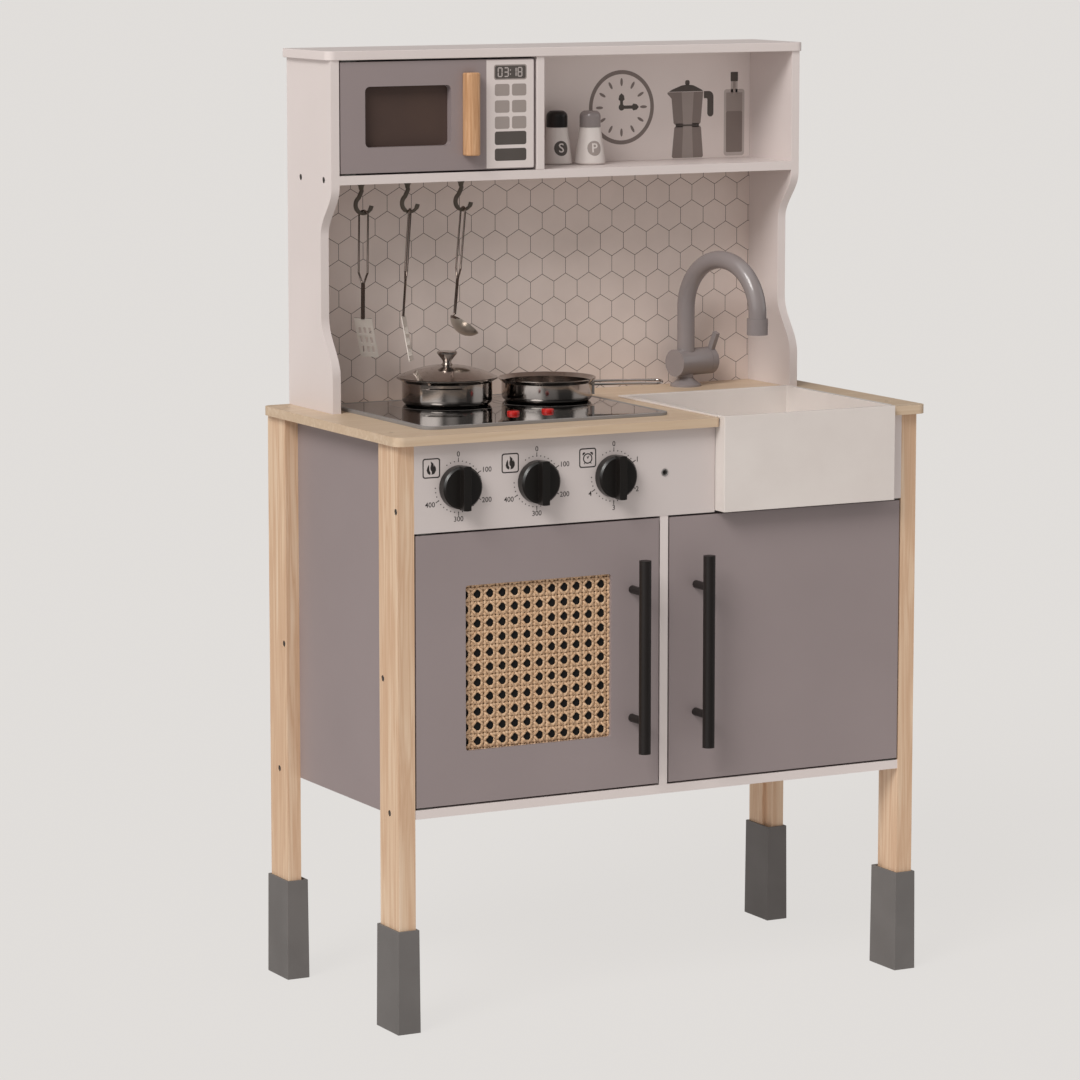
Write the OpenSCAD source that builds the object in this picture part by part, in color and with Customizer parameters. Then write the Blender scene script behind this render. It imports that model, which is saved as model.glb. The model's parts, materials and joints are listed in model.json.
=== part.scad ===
// Toy kitchen: a legged cabinet with two doors, a countertop with hob and sink, and an upper unit
// with a microwave, a shelf and hanging utensils. Millimetres, +Z up, front towards -Y, origin on
// the floor at the centre of the outline. The pieces are drawn midway between the legs, then moved.

/* [Overall] */
// Width over the outer faces of the legs
kitchen_w = 584; // [500:1:760]
// Depth over the outer faces of the legs
kitchen_d = 296; // [270:1:400]
// Height of the countertop's upper face
counter_z = 583.5; // [520:0.5:760]
// Height of the cupboard floor's upper face
base_z = 219.3; // [160:0.1:260]
// Height of the upper unit above the countertop
upper_h = 357.5; // [330:0.5:480]
// Thickness of every board
board_t = 9; // [8:0.5:12]

/* [Legs and feet] */
// Leg width along X
leg_w = 17.5; // [15:0.5:24]
// Leg depth along Y
leg_d = 41.4; // [34:0.2:50]
// Width of the rebate that takes the side panel
rebate_w = 3.5; // [2:0.5:5]
// Depth of the rebate that takes the side panel
rebate_d = 14; // [10:1:18]
// Height of a foot sleeve
sleeve_h = 102; // [80:1:130]
// Wall of a foot sleeve
sleeve_wall = 2.5; // [2:0.1:4]
// Height of the stop inside a foot sleeve
sleeve_stop = 42; // [20:1:60]
// Clearance around a leg in its sleeve
sleeve_gap = 0.25; // [0.1:0.05:0.5]

/* [Countertop] */
// Side overhang past the legs
counter_side = 6.3; // [2:0.1:15]
// Front overhang past the legs
counter_front = 10.3; // [2:0.1:20]
// Corner radius of the countertop
counter_r = 10; // [4:1:20]

/* [Doors and controls] */
// Height of the control panel
control_h = 86; // [75:1:110]
// Gap beside a door
door_gap = 1.6; // [1.2:0.1:3]
// Gap above and below a door, which holds the hinge plates
door_gap_z = 2; // [1.8:0.1:4]
// Distance of a hinge pin from the door's edge
pin_inset = 9; // [8.5:0.5:14]
// Diameter of a hinge pin
pin_d = 4; // [3:0.5:5]
// Radial clearance of every pin and shaft
pin_gap = 0.05; // [0.02:0.01:0.1]
// Width of the woven oven window
oven_window_w = 160; // [120:1:180]
// Height of the woven oven window
oven_window_h = 162; // [120:1:190]
// Length of a bar handle
handle_len = 192; // [150:1:220]
// Distance between a bar handle's posts
handle_pitch = 128; // [96:32:160]
// Diameter of a bar handle
handle_d = 12; // [8:1:14]
// Diameter of a handle post
post_d = 8; // [6:0.5:10]
// Distance from the door's face to the bar's centre
handle_reach = 26.3; // [20:0.1:34]
// Distance from the door's free edge to the handle
handle_inset = 30; // [22:1:40]
// Knob diameter
knob_d = 42; // [34:1:48]
// Distance between knobs
knob_pitch = 85; // [72:1:95]
// Diameter of a knob's shaft
shaft_d = 6; // [5:0.5:8]

/* [Hob and sink] */
// Hob width
hob_w = 273; // [240:1:280]
// Hob depth
hob_d = 223; // [190:1:230]
// Hob height above the countertop
hob_t = 3; // [3:0.5:5]
// Hob button diameter
button_d = 12.4; // [10:0.2:16]
// Sink width
sink_w = 198; // [170:1:200]
// Sink depth in plan, apron included
sink_d = 208.5; // [180:0.5:215]
// Height of the sink's apron below its rim
apron_h = 95.5; // [70:0.5:96]
// Depth of the basin
basin_h = 60; // [40:1:80]
// Wall of the sink
sink_wall = 4; // [3:0.5:6]

/* [Faucet] */
// Radius of the spout's arch
arch_r = 53.4; // [40:0.2:56]
// Height of the arch's centre above the countertop
arch_h = 82; // [70:1:120]
// Outer diameter of the spout
spout_d = 18.4; // [14:0.2:22]
// Diameter of the valve body
valve_d = 28.4; // [24:0.2:32]
// Height of the valve body's axis above the countertop
valve_h = 25; // [22:0.5:34]
// Angle to which the faucet is turned from straight ahead
faucet_turn = 13.5; // [0:0.5:20]

/* [Upper unit] */
// Width over the upper side panels
upper_w = 536; // [470:1:580]
// Depth of the upper side panels
upper_d = 102.5; // [90:0.5:130]
// Recess of the side panels between shelf and countertop
side_recess = 26; // [10:1:34]
// Height of the shelf's upper face above the countertop
shelf_h = 235.1; // [220:0.1:300]
// Distance of the back panels' faces from the rear edge
back_inset = 17; // [8:1:24]
// Thickness of the printed back panels
back_t = 4; // [3:0.5:6]
// Width of the microwave compartment
microwave_w = 219.5; // [200:0.5:260]
// Width of the microwave window
microwave_window_w = 95; // [70:1:110]
// Height of the microwave window
microwave_window_h = 60; // [45:1:70]

/* [Cookware and utensils] */
// Diameter of the pot's body
pot_d = 91; // [80:1:95]
// Height of the pot
pot_h = 27; // [22:1:40]
// Diameter of the pan's body
pan_d = 92; // [80:1:94]
// Height of the pan
pan_h = 23; // [20:0.5:36]
// Wall of the pot, lid and pan
sheet_t = 1; // [0.8:0.1:1.5]
// Length of the pan's handle past the rim
pan_handle_len = 72; // [50:1:80]
// Base diameter of a shaker
shaker_d = 32; // [24:1:33]
// Height of a shaker
shaker_h = 55; // [45:1:70]
// Length of a utensil from its loop to the end of its stem
utensil_len = 108.5; // [90:0.5:112]
// Diameter of the utensils' wire
wire_d = 2; // [1.6:0.1:2.6]

/* [Hidden] */
half_w = kitchen_w / 2;
half_d = kitchen_d / 2;
leg_in = half_w - leg_w;
rebate_x = leg_in + rebate_w;
rebate_y = half_d - leg_d + rebate_d;
side_in = rebate_x - board_t;
under_z = counter_z - board_t;
base_under = base_z - board_t;
control_z = under_z - control_h;
edge_back = 0.5;
board_y0 = -half_d + edge_back;
panel_back_y = -half_d + board_t;
cabinet_back_t = 3;
cabinet_back_y = half_d - board_t;
sleeve_out_w = leg_w + 2 * (sleeve_wall + sleeve_gap);
sleeve_out_d = leg_d + 2 * (sleeve_wall + sleeve_gap);
sleeve_draft = 0.7;
sleeve_web = 4;
side_drop = 3;
frame_shift = (handle_reach + handle_d / 2 - (sleeve_out_d - leg_d) / 2 - sleeve_draft) / 2;

door_z0 = base_z + door_gap_z;
door_z1 = control_z - door_gap_z;
door_mid_z = (door_z0 + door_z1) / 2;
door_in = board_t / 2 + door_gap;
door_out = leg_in - door_gap;
door_mid_x = (door_in + door_out) / 2;
pin_x = door_out - pin_inset;
pin_y = -half_d + board_t / 2;
pin_len = 8;
plate_t = 1.2;
bore_len = pin_len + 1;
window_r = 3;
cane_deep = 4;
cane_t = 1.5;
cane_lap = 6;
handle_x = door_in + handle_inset;

knob_x = [for (i = [0:2]) -leg_in + 47.5 + i * knob_pitch];
knob_z = control_z + control_h / 2;
knob_t = 11;
grip_t = 8.5;
grip_w = 8;
knob_lift = 0.5;
washer_r = 7;
washer_t = 1.5;

sink_x0 = 57.5;
sink_x1 = sink_x0 + sink_w;
sink_y1 = 42.5;
sink_y0 = sink_y1 - sink_d;
sink_lip = 3;
lip_t = 2;
sink_rim_z = counter_z + lip_t;
basin_z = sink_rim_z - basin_h;
cut_gap = 0.5;

counter_x = half_w + counter_side;
counter_y0 = -half_d - counter_front;
hob_x0 = -247;
hob_y0 = -117;
hob_x1 = hob_x0 + hob_w;
hob_y1 = hob_y0 + hob_d;
hob_r = 14;
hob_rim = 5;
hob_z = counter_z + hob_t;
glass_t = 1.2;
glass_z = hob_z - 0.2;
housing = [-175, -25, -95, -15];
housing_z = under_z - 28;
housing_wall = 2;
buttons = [[-119, -55], [-80.5, -55]];
button_gap = 0.3;
button_rise = 3;
button_drop = 5;
flange_w = 1.3;

faucet = [167, 103];
flange_r = 16.3;
flange_h = 9;
stub_r = 5;
stub_h = 16;
neck_r = 7.8;
valve_left = 16;
valve_right = 27;
hub_t = 7.7;
joint_gap = 0.3;
hub_pin_r = 4;
hub_pin = 8;
lever_tilt = 24;
lever_len = 33;
outlet_r = 10.8;
outlet_top = arch_h - 3.5;
outlet_len = 17;
outlet_seat = 8;
spout_r = spout_d / 2;
valve_r = valve_d / 2;

upper_x = upper_w / 2;
upper_in = upper_x - board_t;
upper_y1 = half_d;
upper_y0 = upper_y1 - upper_d;
top_z = counter_z + upper_h;
top_under = top_z - board_t;
top_side = 4.6;
top_front = 2;
top_r = 9;
back_y = upper_y1 - back_inset;
shelf_z = counter_z + shelf_h;
shelf_under = shelf_z - board_t;
divider_x = -upper_in + microwave_w;
recess_y = upper_y0 + side_recess;
curve_top = 48;
curve_low = 36;
curve_span = 57;

mw_inset = 0.5;
mw_x0 = -upper_in + door_gap;
mw_x1 = divider_x - door_gap - 1;
mw_y0 = upper_y0 + mw_inset;
mw_z0 = shelf_z + door_gap_z;
mw_z1 = top_under - door_gap_z;
mw_pin_x = mw_x0 + pin_inset;
mw_pin_y = mw_y0 + board_t / 2;
mw_window_x = mw_x0 + 27;
mw_window_z = mw_z0 + 25;
mw_window_r = 5;
mw_glass_t = 1.5;
mw_glass_lap = 4;
mw_handle_x = mw_x1 - 73.1;
mw_handle_w = 16;
mw_handle_h = 82.5;
mw_handle_t = 12.5;

hook_x = [-218, -166.5, -106.5];
hook_y = 85;
hook_r = 8.8;
hook_wire_r = 1.7;
hook_drop = 23;
hook_shift = 4;
hook_z = shelf_under - hook_drop - hook_r + hook_wire_r + wire_d / 2 + 0.3;
loop_w = 10;
loop_len = 62;
stem_gap = 2.4;
utensil_turn = [-53, 52, -90];
utensil_lean = [0.8, 4.2, 5.3];

burner_a = [-138, 52];
burner_b = [-33, 36];
rim_flare = 5.5;
pot_corner = 6;
handle_dir = 60;
pot_strap_out = 6.5;
pot_strap_h = 12;
pot_strap_half = 25;
lid_lift = 0.3;
lid_h = 12;
lid_knob_h = 13.5;
lid_z = glass_z + pot_h + 0.5 + lid_lift;
pan_turn = -20;
pan_handle_z = 17;
pan_wire_r = 1.3;
pan_loop_w = 13;
pan_tilt = 9;
shakers = [[19, 112], [50, 98]];
shaker_top_d = shaker_d * 0.68;
cap_h = 17;

screw_head_r = 3.1;
screw_head_t = 1.8;
screw_r = 1.5;
screw_sink = 0.4;
screw_bite = 7;
screw_gap = 0.05;
base_screws = [[-127, base_z - board_t / 2], [127, base_z - board_t / 2]];
side_screws = [[-(rebate_y - rebate_d / 2), 345], [rebate_y - rebate_d / 2, 345]];
front_screw = [-half_d + board_t / 2, control_z + 22];
counter_screws = [[280, -112], [280, 125]];
shelf_screws = [[upper_y0 + 18, shelf_z - board_t / 2], [upper_y1 - 31, shelf_z - board_t / 2]];

$fn = 64;

// Points along an arc.
function arc(cx, cy, r, a0, a1, n = 6) =
    [for (i = [0:n]) [cx + r * cos(a0 + (a1 - a0) * i / n), cy + r * sin(a0 + (a1 - a0) * i / n)]];

// A rectangle between two corners with a radius at each corner, anticlockwise from the lower left.
function soft_rect(x0, y0, x1, y1, ra, rb, rc, rd) =
    concat(arc(x0 + ra, y0 + ra, ra, 180, 270), arc(x1 - rb, y0 + rb, rb, 270, 360),
           arc(x1 - rc, y1 - rc, rc, 0, 90), arc(x0 + rd, y1 - rd, rd, 90, 180));

// A smooth step from one depth to another over a height.
function step_curve(y0, z0, y1, z1, n = 10) =
    [for (i = [0:n]) [y0 + (y1 - y0) * (1 - cos(180 * i / n)) / 2, z0 + (z1 - z0) * i / n]];

// A plate drawn in X and Z, with its front face at y0.
module plate_xz(y0, t) {
    translate([0, y0 + t, 0]) rotate([90, 0, 0]) linear_extrude(t) children();
}

// A plate drawn in Y and Z, with its lower X face at x0.
module plate_yz(x0, t) {
    translate([x0, 0, 0]) rotate([90, 0, 90]) linear_extrude(t) children();
}

// Moves a piece from midway between the legs to the centre of the outline.
module in_frame() {
    translate([0, frame_shift, 0]) children();
}

module block(x0, x1, y0, y1, z0, z1) {
    translate([x0, y0, z0]) cube([x1 - x0, y1 - y0, z1 - z0]);
}

// A rod along +X or +Y from a point.
module rod_x(x, y, z, r, len) {
    translate([x, y, z]) rotate([0, 90, 0]) cylinder(r = r, h = len);
}

module rod_y(x, y, z, r, len) {
    translate([x, y, z]) rotate([-90, 0, 0]) cylinder(r = r, h = len);
}

// A rod between two points.
module wire(a, b, r) {
    d = b - a;
    translate(a) rotate([0, acos(d.z / norm(d)), atan2(d.y, d.x)]) cylinder(r = r, h = norm(d), $fn = 16);
}

// A screw along -Z whose head sits just under the face at z = 0.
module screw(len) {
    translate([0, 0, -screw_sink - screw_head_t]) cylinder(r = screw_head_r, h = screw_head_t);
    translate([0, 0, -len]) cylinder(r = screw_r, h = len - screw_sink - screw_head_t);
}

// The hole that a screw of the same length goes into.
module screw_hole(len) {
    translate([0, 0, -screw_sink - screw_head_t]) cylinder(r = screw_head_r + screw_gap, h = screw_head_t + 5);
    translate([0, 0, -len - screw_gap]) cylinder(r = screw_r + screw_gap, h = len);
}

module screw_or_hole(len, hole) {
    if (hole) screw_hole(len);
    else screw(len);
}

// Screws, or their holes, through the legs on one side of the cabinet: side is -1 left, 1 right.
module side_screw_set(side, hole) {
    for (s = base_screws)
        translate([side * half_w, s.x, s.y]) rotate([0, side * 90, 0]) screw_or_hole(leg_w + screw_bite, hole);
    for (s = side_screws)
        translate([side * half_w, s.x, s.y]) rotate([0, side * 90, 0])
            screw_or_hole(leg_w - rebate_w + screw_bite, hole);
    translate([side * half_w, front_screw.x, front_screw.y]) rotate([0, side * 90, 0])
        screw_or_hole(leg_w + screw_bite, hole);
}

// Screws, or their holes, down through the countertop into the legs.
module counter_screw_set(hole) {
    for (side = [-1, 1], s = counter_screws)
        translate([side * s.x, s.y, counter_z]) screw_or_hole(board_t + screw_bite, hole);
}

// Screws, or their holes, through the upper side panels into the shelf.
module shelf_screw_set(side, hole) {
    for (s = shelf_screws)
        translate([side * upper_x, s.x, s.y]) rotate([0, side * 90, 0]) screw_or_hole(board_t + screw_bite, hole);
}

// The screw that holds the control panel to the centre divider.
module panel_screw_set(hole) {
    translate([0, -half_d, knob_z]) rotate([90, 0, 0]) screw_or_hole(board_t + screw_bite, hole);
}

module screws() {
    color("dimgray") in_frame() {
        for (side = [-1, 1]) {
            side_screw_set(side, false);
            shelf_screw_set(side, false);
        }
        counter_screw_set(false);
        panel_screw_set(false);
    }
}

// LEGS AND FEET

// The front left leg, with a rebate for the side panel at its inner rear edge.
module leg_shape() {
    translate([0, 0, sleeve_stop]) linear_extrude(under_z - sleeve_stop) polygon([
        [-half_w, -half_d], [-leg_in, -half_d], [-leg_in, -rebate_y],
        [-rebate_x, -rebate_y], [-rebate_x, -half_d + leg_d], [-half_w, -half_d + leg_d]]);
}

module leg(side, rear) {
    color("burlywood") in_frame() difference() {
        mirror([side > 0 ? 1 : 0, 0, 0]) mirror([0, rear ? 1 : 0, 0]) leg_shape();
        side_screw_set(side, true);
        counter_screw_set(true);
    }
}

module leg_front_left() { leg(-1, false); }
module leg_front_right() { leg(1, false); }
module leg_back_left() { leg(-1, true); }
module leg_back_right() { leg(1, true); }

// A wall outline that is wider at the floor by the draft.
module drafted(half) {
    polygon([[-half - sleeve_draft, 0], [half + sleeve_draft, 0], [half, sleeve_h], [-half, sleeve_h]]);
}

module sleeve_shape() {
    pocket_w = leg_w / 2 + sleeve_gap;
    pocket_d = leg_d / 2 + sleeve_gap;
    translate([-half_w + leg_w / 2, -half_d + leg_d / 2, 0]) difference() {
        intersection() {
            plate_xz(-sleeve_out_d, 2 * sleeve_out_d) drafted(sleeve_out_w / 2);
            plate_yz(-sleeve_out_w, 2 * sleeve_out_w) drafted(sleeve_out_d / 2);
        }
        block(-pocket_w, pocket_w, -pocket_d, pocket_d, sleeve_stop, sleeve_h + 1);
        block(-pocket_w, pocket_w, -pocket_d, pocket_d, -1, sleeve_stop - sleeve_web);
    }
}

module sleeve(side, rear) {
    color("dimgray") in_frame() mirror([side > 0 ? 1 : 0, 0, 0]) mirror([0, rear ? 1 : 0, 0]) sleeve_shape();
}

module foot_sleeve_front_left() { sleeve(-1, false); }
module foot_sleeve_front_right() { sleeve(1, false); }
module foot_sleeve_back_left() { sleeve(-1, true); }
module foot_sleeve_back_right() { sleeve(1, true); }

// CABINET

module side_panel(side) {
    x0 = side < 0 ? -rebate_x : side_in;
    color("rosybrown") in_frame() difference() {
        block(x0, x0 + board_t, -rebate_y, rebate_y, base_under - side_drop, under_z);
        side_screw_set(side, true);
    }
}

module side_panel_left() { side_panel(-1); }
module side_panel_right() { side_panel(1); }

// The cupboard floor, wider between the front legs and between the back legs.
module base_panel() {
    color("gainsboro") in_frame() difference() {
        translate([0, 0, base_under]) linear_extrude(board_t) polygon([
            [-leg_in, board_y0], [leg_in, board_y0], [leg_in, -rebate_y], [side_in, -rebate_y],
            [side_in, rebate_y], [leg_in, rebate_y], [leg_in, cabinet_back_y], [-leg_in, cabinet_back_y],
            [-leg_in, rebate_y], [-side_in, rebate_y], [-side_in, -rebate_y], [-leg_in, -rebate_y]]);
        side_screw_set(-1, true);
        side_screw_set(1, true);
    }
}

module cabinet_back_panel() {
    color("gainsboro") in_frame()
        block(-leg_in, leg_in, cabinet_back_y, cabinet_back_y + cabinet_back_t, base_under, under_z);
}

// The upright between the two doors, cut back behind the control panel.
module centre_divider() {
    color("gainsboro") in_frame() difference() {
        plate_yz(-board_t / 2, board_t) polygon([
            [board_y0, base_z], [cabinet_back_y, base_z], [cabinet_back_y, under_z],
            [panel_back_y, under_z], [panel_back_y, control_z], [board_y0, control_z]]);
        panel_screw_set(true);
    }
}

module control_panel() {
    color("gainsboro") in_frame() difference() {
        block(-leg_in, sink_x0 - cut_gap, -half_d, panel_back_y, control_z, under_z);
        for (x = knob_x) rod_y(x, -half_d - 1, knob_z, shaft_d / 2 + pin_gap, board_t + 2);
        side_screw_set(-1, true);
        panel_screw_set(true);
    }
}

// The narrow white strip between the sink's apron and the right leg.
module sink_filler_strip() {
    color("gainsboro") in_frame() difference() {
        block(sink_x1 + cut_gap, leg_in, -half_d, panel_back_y, control_z, under_z);
        side_screw_set(1, true);
    }
}

module countertop() {
    front_r = 4;
    cut_x0 = sink_x0 - cut_gap;
    cut_x1 = sink_x1 + cut_gap;
    outline = concat(
        arc(-counter_x + counter_r, counter_y0 + counter_r, counter_r, 180, 270),
        arc(cut_x0 - front_r, counter_y0 + front_r, front_r, 270, 360),
        [[cut_x0, sink_y1 + cut_gap], [cut_x1, sink_y1 + cut_gap]],
        arc(cut_x1 + front_r, counter_y0 + front_r, front_r, 180, 270),
        arc(counter_x - counter_r, counter_y0 + counter_r, counter_r, 270, 360),
        arc(counter_x - counter_r, half_d - counter_r, counter_r, 0, 90),
        arc(-counter_x + counter_r, half_d - counter_r, counter_r, 90, 180));
    color("wheat") in_frame() difference() {
        translate([0, 0, under_z]) linear_extrude(board_t) polygon(outline);
        block(housing[0] - cut_gap, housing[1] + cut_gap, housing[2] - cut_gap, housing[3] + cut_gap,
              under_z - 1, counter_z + 1);
        counter_screw_set(true);
    }
}

// HOB

module hob_outline(inset) {
    r = hob_r - inset;
    polygon(soft_rect(hob_x0 + inset, hob_y0 + inset, hob_x1 - inset, hob_y1 - inset, r, r, r, r));
}

module button_holes() {
    for (b = buttons) translate([b.x, b.y, counter_z - 1]) cylinder(r = button_d / 2 + button_gap, h = hob_t + 2);
}

module hob_tray() {
    color("gray") in_frame() difference() {
        translate([0, 0, counter_z]) linear_extrude(hob_t) hob_outline(0);
        translate([0, 0, glass_z - glass_t]) linear_extrude(hob_t) hob_outline(hob_rim);
        button_holes();
    }
}

module hob_glass() {
    color("black") in_frame() difference() {
        translate([0, 0, glass_z - glass_t]) linear_extrude(glass_t) hob_outline(hob_rim);
        button_holes();
    }
}

// The open-topped box below the hob that holds the lamps and batteries.
module hob_housing() {
    w = housing_wall;
    color("whitesmoke") in_frame() difference() {
        block(housing[0], housing[1], housing[2], housing[3], housing_z, counter_z);
        block(housing[0] + w, housing[1] - w, housing[2] + w, housing[3] - w, housing_z + w, counter_z + 1);
    }
}

module hob_button(i) {
    r = button_d / 2;
    z0 = counter_z - button_drop;
    color("red") in_frame() translate([buttons[i].x, buttons[i].y, 0]) rotate_extrude() polygon([
        [0, z0], [r + flange_w, z0], [r + flange_w, counter_z - button_gap], [r, counter_z - button_gap],
        [r, glass_z + button_rise - 0.8], [r - 0.8, glass_z + button_rise], [0, glass_z + button_rise]]);
}

module hob_button_left() { hob_button(0); }
module hob_button_right() { hob_button(1); }

// SINK

// A basin with a lip that rests on the countertop and an apron that hangs down in front.
module sink() {
    w = sink_wall;
    apron_y1 = panel_back_y - 2;
    color("white") in_frame() difference() {
        union() {
            block(sink_x0, sink_x1, sink_y0, sink_y1, basin_z - w, sink_rim_z);
            block(sink_x0, sink_x1, sink_y0, apron_y1, sink_rim_z - apron_h, sink_rim_z);
            block(sink_x0 - sink_lip, sink_x1 + sink_lip, counter_y0 + 4, sink_y1 + sink_lip, counter_z, sink_rim_z);
        }
        block(sink_x0 + w, sink_x1 - w, sink_y0 + w, sink_y1 - w, basin_z, sink_rim_z + 1);
        block(sink_x0 + w, sink_x1 - w, sink_y0 + w, apron_y1 + 1, sink_rim_z - apron_h - 1, basin_z - w);
    }
}

// FAUCET

module at_faucet() {
    translate([faucet.x, faucet.y, counter_z]) rotate(faucet_turn) children();
}

module faucet_flange() {
    color("gray") in_frame() at_faucet() rotate_extrude() polygon([
        [0, 0], [flange_r, 0], [flange_r, 2], [neck_r + 2.5, flange_h - 3], [neck_r, flange_h],
        [stub_r, flange_h], [stub_r, stub_h], [0, stub_h]]);
}

// The neck and the cross cylinder, with sockets for the flange's stub, the spout and the lever's pin.
module faucet_body() {
    color("gray") in_frame() at_faucet() difference() {
        union() {
            translate([0, 0, flange_h + joint_gap]) cylinder(r = neck_r, h = valve_h - flange_h);
            rod_x(-valve_left, 0, valve_h, valve_r, valve_left + valve_right);
        }
        cylinder(r = stub_r + pin_gap, h = stub_h + joint_gap);
        translate([0, 0, valve_h]) cylinder(r = spout_r, h = valve_r + 1);
        rod_x(valve_right - hub_pin - joint_gap, 0, valve_h, hub_pin_r + pin_gap, hub_pin + 1);
    }
}

module faucet_spout() {
    color("gray") in_frame() at_faucet() {
        translate([0, 0, valve_h]) cylinder(r = spout_r, h = arch_h - valve_h);
        translate([0, -arch_r, arch_h]) rotate([90, 0, 90]) rotate_extrude(angle = 180)
            translate([arch_r, 0]) circle(r = spout_r);
        translate([0, -2 * arch_r, outlet_top - outlet_seat])
            cylinder(r = spout_r, h = arch_h - outlet_top + outlet_seat);
    }
}

module faucet_outlet() {
    nozzle_r = 7;
    color("gray") in_frame() at_faucet() translate([0, -2 * arch_r, outlet_top - outlet_len]) difference() {
        cylinder(r = outlet_r, h = outlet_len);
        translate([0, 0, outlet_len - outlet_seat]) cylinder(r = spout_r, h = outlet_seat + 1);
        translate([0, 0, -1]) cylinder(r = nozzle_r, h = outlet_seat - 2);
    }
}

module faucet_lever() {
    stick_w = 5;
    stick_d = 6;
    hub_x = valve_right + joint_gap;
    color("gray") in_frame() at_faucet() {
        rod_x(hub_x, 0, valve_h, valve_r, hub_t);
        rod_x(valve_right - hub_pin, 0, valve_h, hub_pin_r, hub_pin + 1);
        translate([hub_x + hub_t / 2, 0, valve_h]) rotate([lever_tilt, 0, 0])
            block(-stick_w / 2, stick_w / 2, -stick_d / 2, stick_d / 2, valve_r - 4, lever_len);
    }
}

// UPPER UNIT

module upper_side(side) {
    x0 = side < 0 ? -upper_x : upper_in;
    curve_z = shelf_under - side_drop;
    profile = concat(
        [[upper_y1, counter_z], [upper_y1, top_under], [upper_y0, top_under]],
        step_curve(upper_y0, curve_z, recess_y, curve_z - curve_top),
        step_curve(recess_y, counter_z + curve_low + curve_span, upper_y0, counter_z + curve_low),
        [[upper_y0, counter_z]]);
    color("gainsboro") in_frame() difference() {
        plate_yz(x0, board_t) polygon(profile);
        shelf_screw_set(side, true);
    }
}

module upper_side_left() { upper_side(-1); }
module upper_side_right() { upper_side(1); }

module top_board() {
    x = upper_x + top_side;
    back_r = 1;
    color("gainsboro") in_frame() translate([0, 0, top_under]) linear_extrude(board_t)
        polygon(soft_rect(-x, upper_y0 - top_front, x, upper_y1, top_r, top_r, back_r, back_r));
}

module shelf() {
    color("gainsboro") in_frame() difference() {
        block(-upper_in, upper_in, upper_y0, back_y + back_t, shelf_under, shelf_z);
        shelf_screw_set(-1, true);
        shelf_screw_set(1, true);
    }
}

module upper_divider() {
    color("gainsboro") in_frame() block(divider_x, divider_x + board_t, upper_y0, back_y, shelf_z, top_under);
}

module upper_back_panel() {
    color("gainsboro") in_frame() block(-upper_in, upper_in, back_y, back_y + back_t, shelf_z, top_under);
}

module backsplash() {
    color("whitesmoke") in_frame() block(-upper_in, upper_in, back_y, back_y + back_t, counter_z, shelf_under);
}

// Three screw-in hooks below the shelf, open to the right.
module cup_hooks() {
    start = 117;
    sweep = 226;
    collar_h = 5;
    color("dimgray") in_frame() for (x = hook_x) translate([x, hook_y, shelf_under]) {
        translate([0, 0, -collar_h]) cylinder(r1 = hook_wire_r, r2 = 3.9, h = collar_h);
        translate([0, 0, -hook_drop + hook_r * sin(start)]) {
            sphere(r = hook_wire_r * 1.08);
            cylinder(r = hook_wire_r, h = hook_drop - hook_r * sin(start) - collar_h);
        }
        translate([hook_shift, 0, -hook_drop]) rotate([90, 0, 0]) rotate(start)
            rotate_extrude(angle = sweep) translate([hook_r, 0]) circle(r = hook_wire_r);
    }
}

// DOORS

// Hinge plates with pins: two for each door, fixed to the boards above and below it.
module pin_plate(x, y, z, up) {
    plate_w = 16;
    plate_d = 8;
    reach = door_gap_z + pin_len;
    translate([x, y, z]) mirror([0, 0, up ? 0 : 1]) {
        block(-plate_w / 2, plate_w / 2, -plate_d / 2, plate_d / 2, 0, plate_t);
        cylinder(r = pin_d / 2, h = reach);
    }
}

module door_hinges() {
    color("silver") in_frame() {
        for (x = [-pin_x, pin_x]) {
            pin_plate(x, pin_y, base_z, true);
            pin_plate(x, pin_y, control_z, false);
        }
        pin_plate(mw_pin_x, mw_pin_y, shelf_z, true);
        pin_plate(mw_pin_x, mw_pin_y, top_under, false);
    }
}

// The two bores that a door's hinge pins run in.
module pin_bores(x, y, z0, z1) {
    for (z = [z0 - 1, z1 - bore_len])
        translate([x, y, z]) cylinder(r = pin_d / 2 + pin_gap, h = bore_len + 1);
}

module window_shape(grow) {
    r = window_r;
    polygon(soft_rect(-door_mid_x - oven_window_w / 2 - grow, door_mid_z - oven_window_h / 2 - grow,
                      -door_mid_x + oven_window_w / 2 + grow, door_mid_z + oven_window_h / 2 + grow,
                      r, r, r, r));
}

module door_blank(side) {
    x0 = side < 0 ? -door_out : door_in;
    block(x0, x0 + door_out - door_in, -half_d, panel_back_y, door_z0, door_z1);
}

module oven_door() {
    color("gray") in_frame() difference() {
        door_blank(-1);
        plate_xz(-half_d - 1, board_t + 2) window_shape(0);
        plate_xz(-half_d + cane_deep, board_t) window_shape(cane_lap);
        pin_bores(-pin_x, pin_y, door_z0, door_z1);
    }
}

module cane_panel() {
    color("tan") in_frame() plate_xz(-half_d + cane_deep, cane_t) window_shape(cane_lap);
}

// The frame that holds the cane in the door's rebate.
module cane_retainer() {
    y0 = -half_d + cane_deep + cane_t;
    color("gray") in_frame() difference() {
        plate_xz(y0, panel_back_y - y0) window_shape(cane_lap);
        plate_xz(y0 - 1, board_t) window_shape(0);
    }
}

// A vertical bar on two posts that stand on a door's front face.
module bar_handle(x) {
    bar_y = -half_d - handle_reach;
    color("black") in_frame() {
        translate([x, bar_y, door_mid_z - handle_len / 2]) cylinder(r = handle_d / 2, h = handle_len);
        for (s = [-1, 1])
            rod_y(x, bar_y, door_mid_z + s * handle_pitch / 2, post_d / 2, handle_reach);
    }
}

module oven_handle() { bar_handle(-handle_x); }

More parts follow.
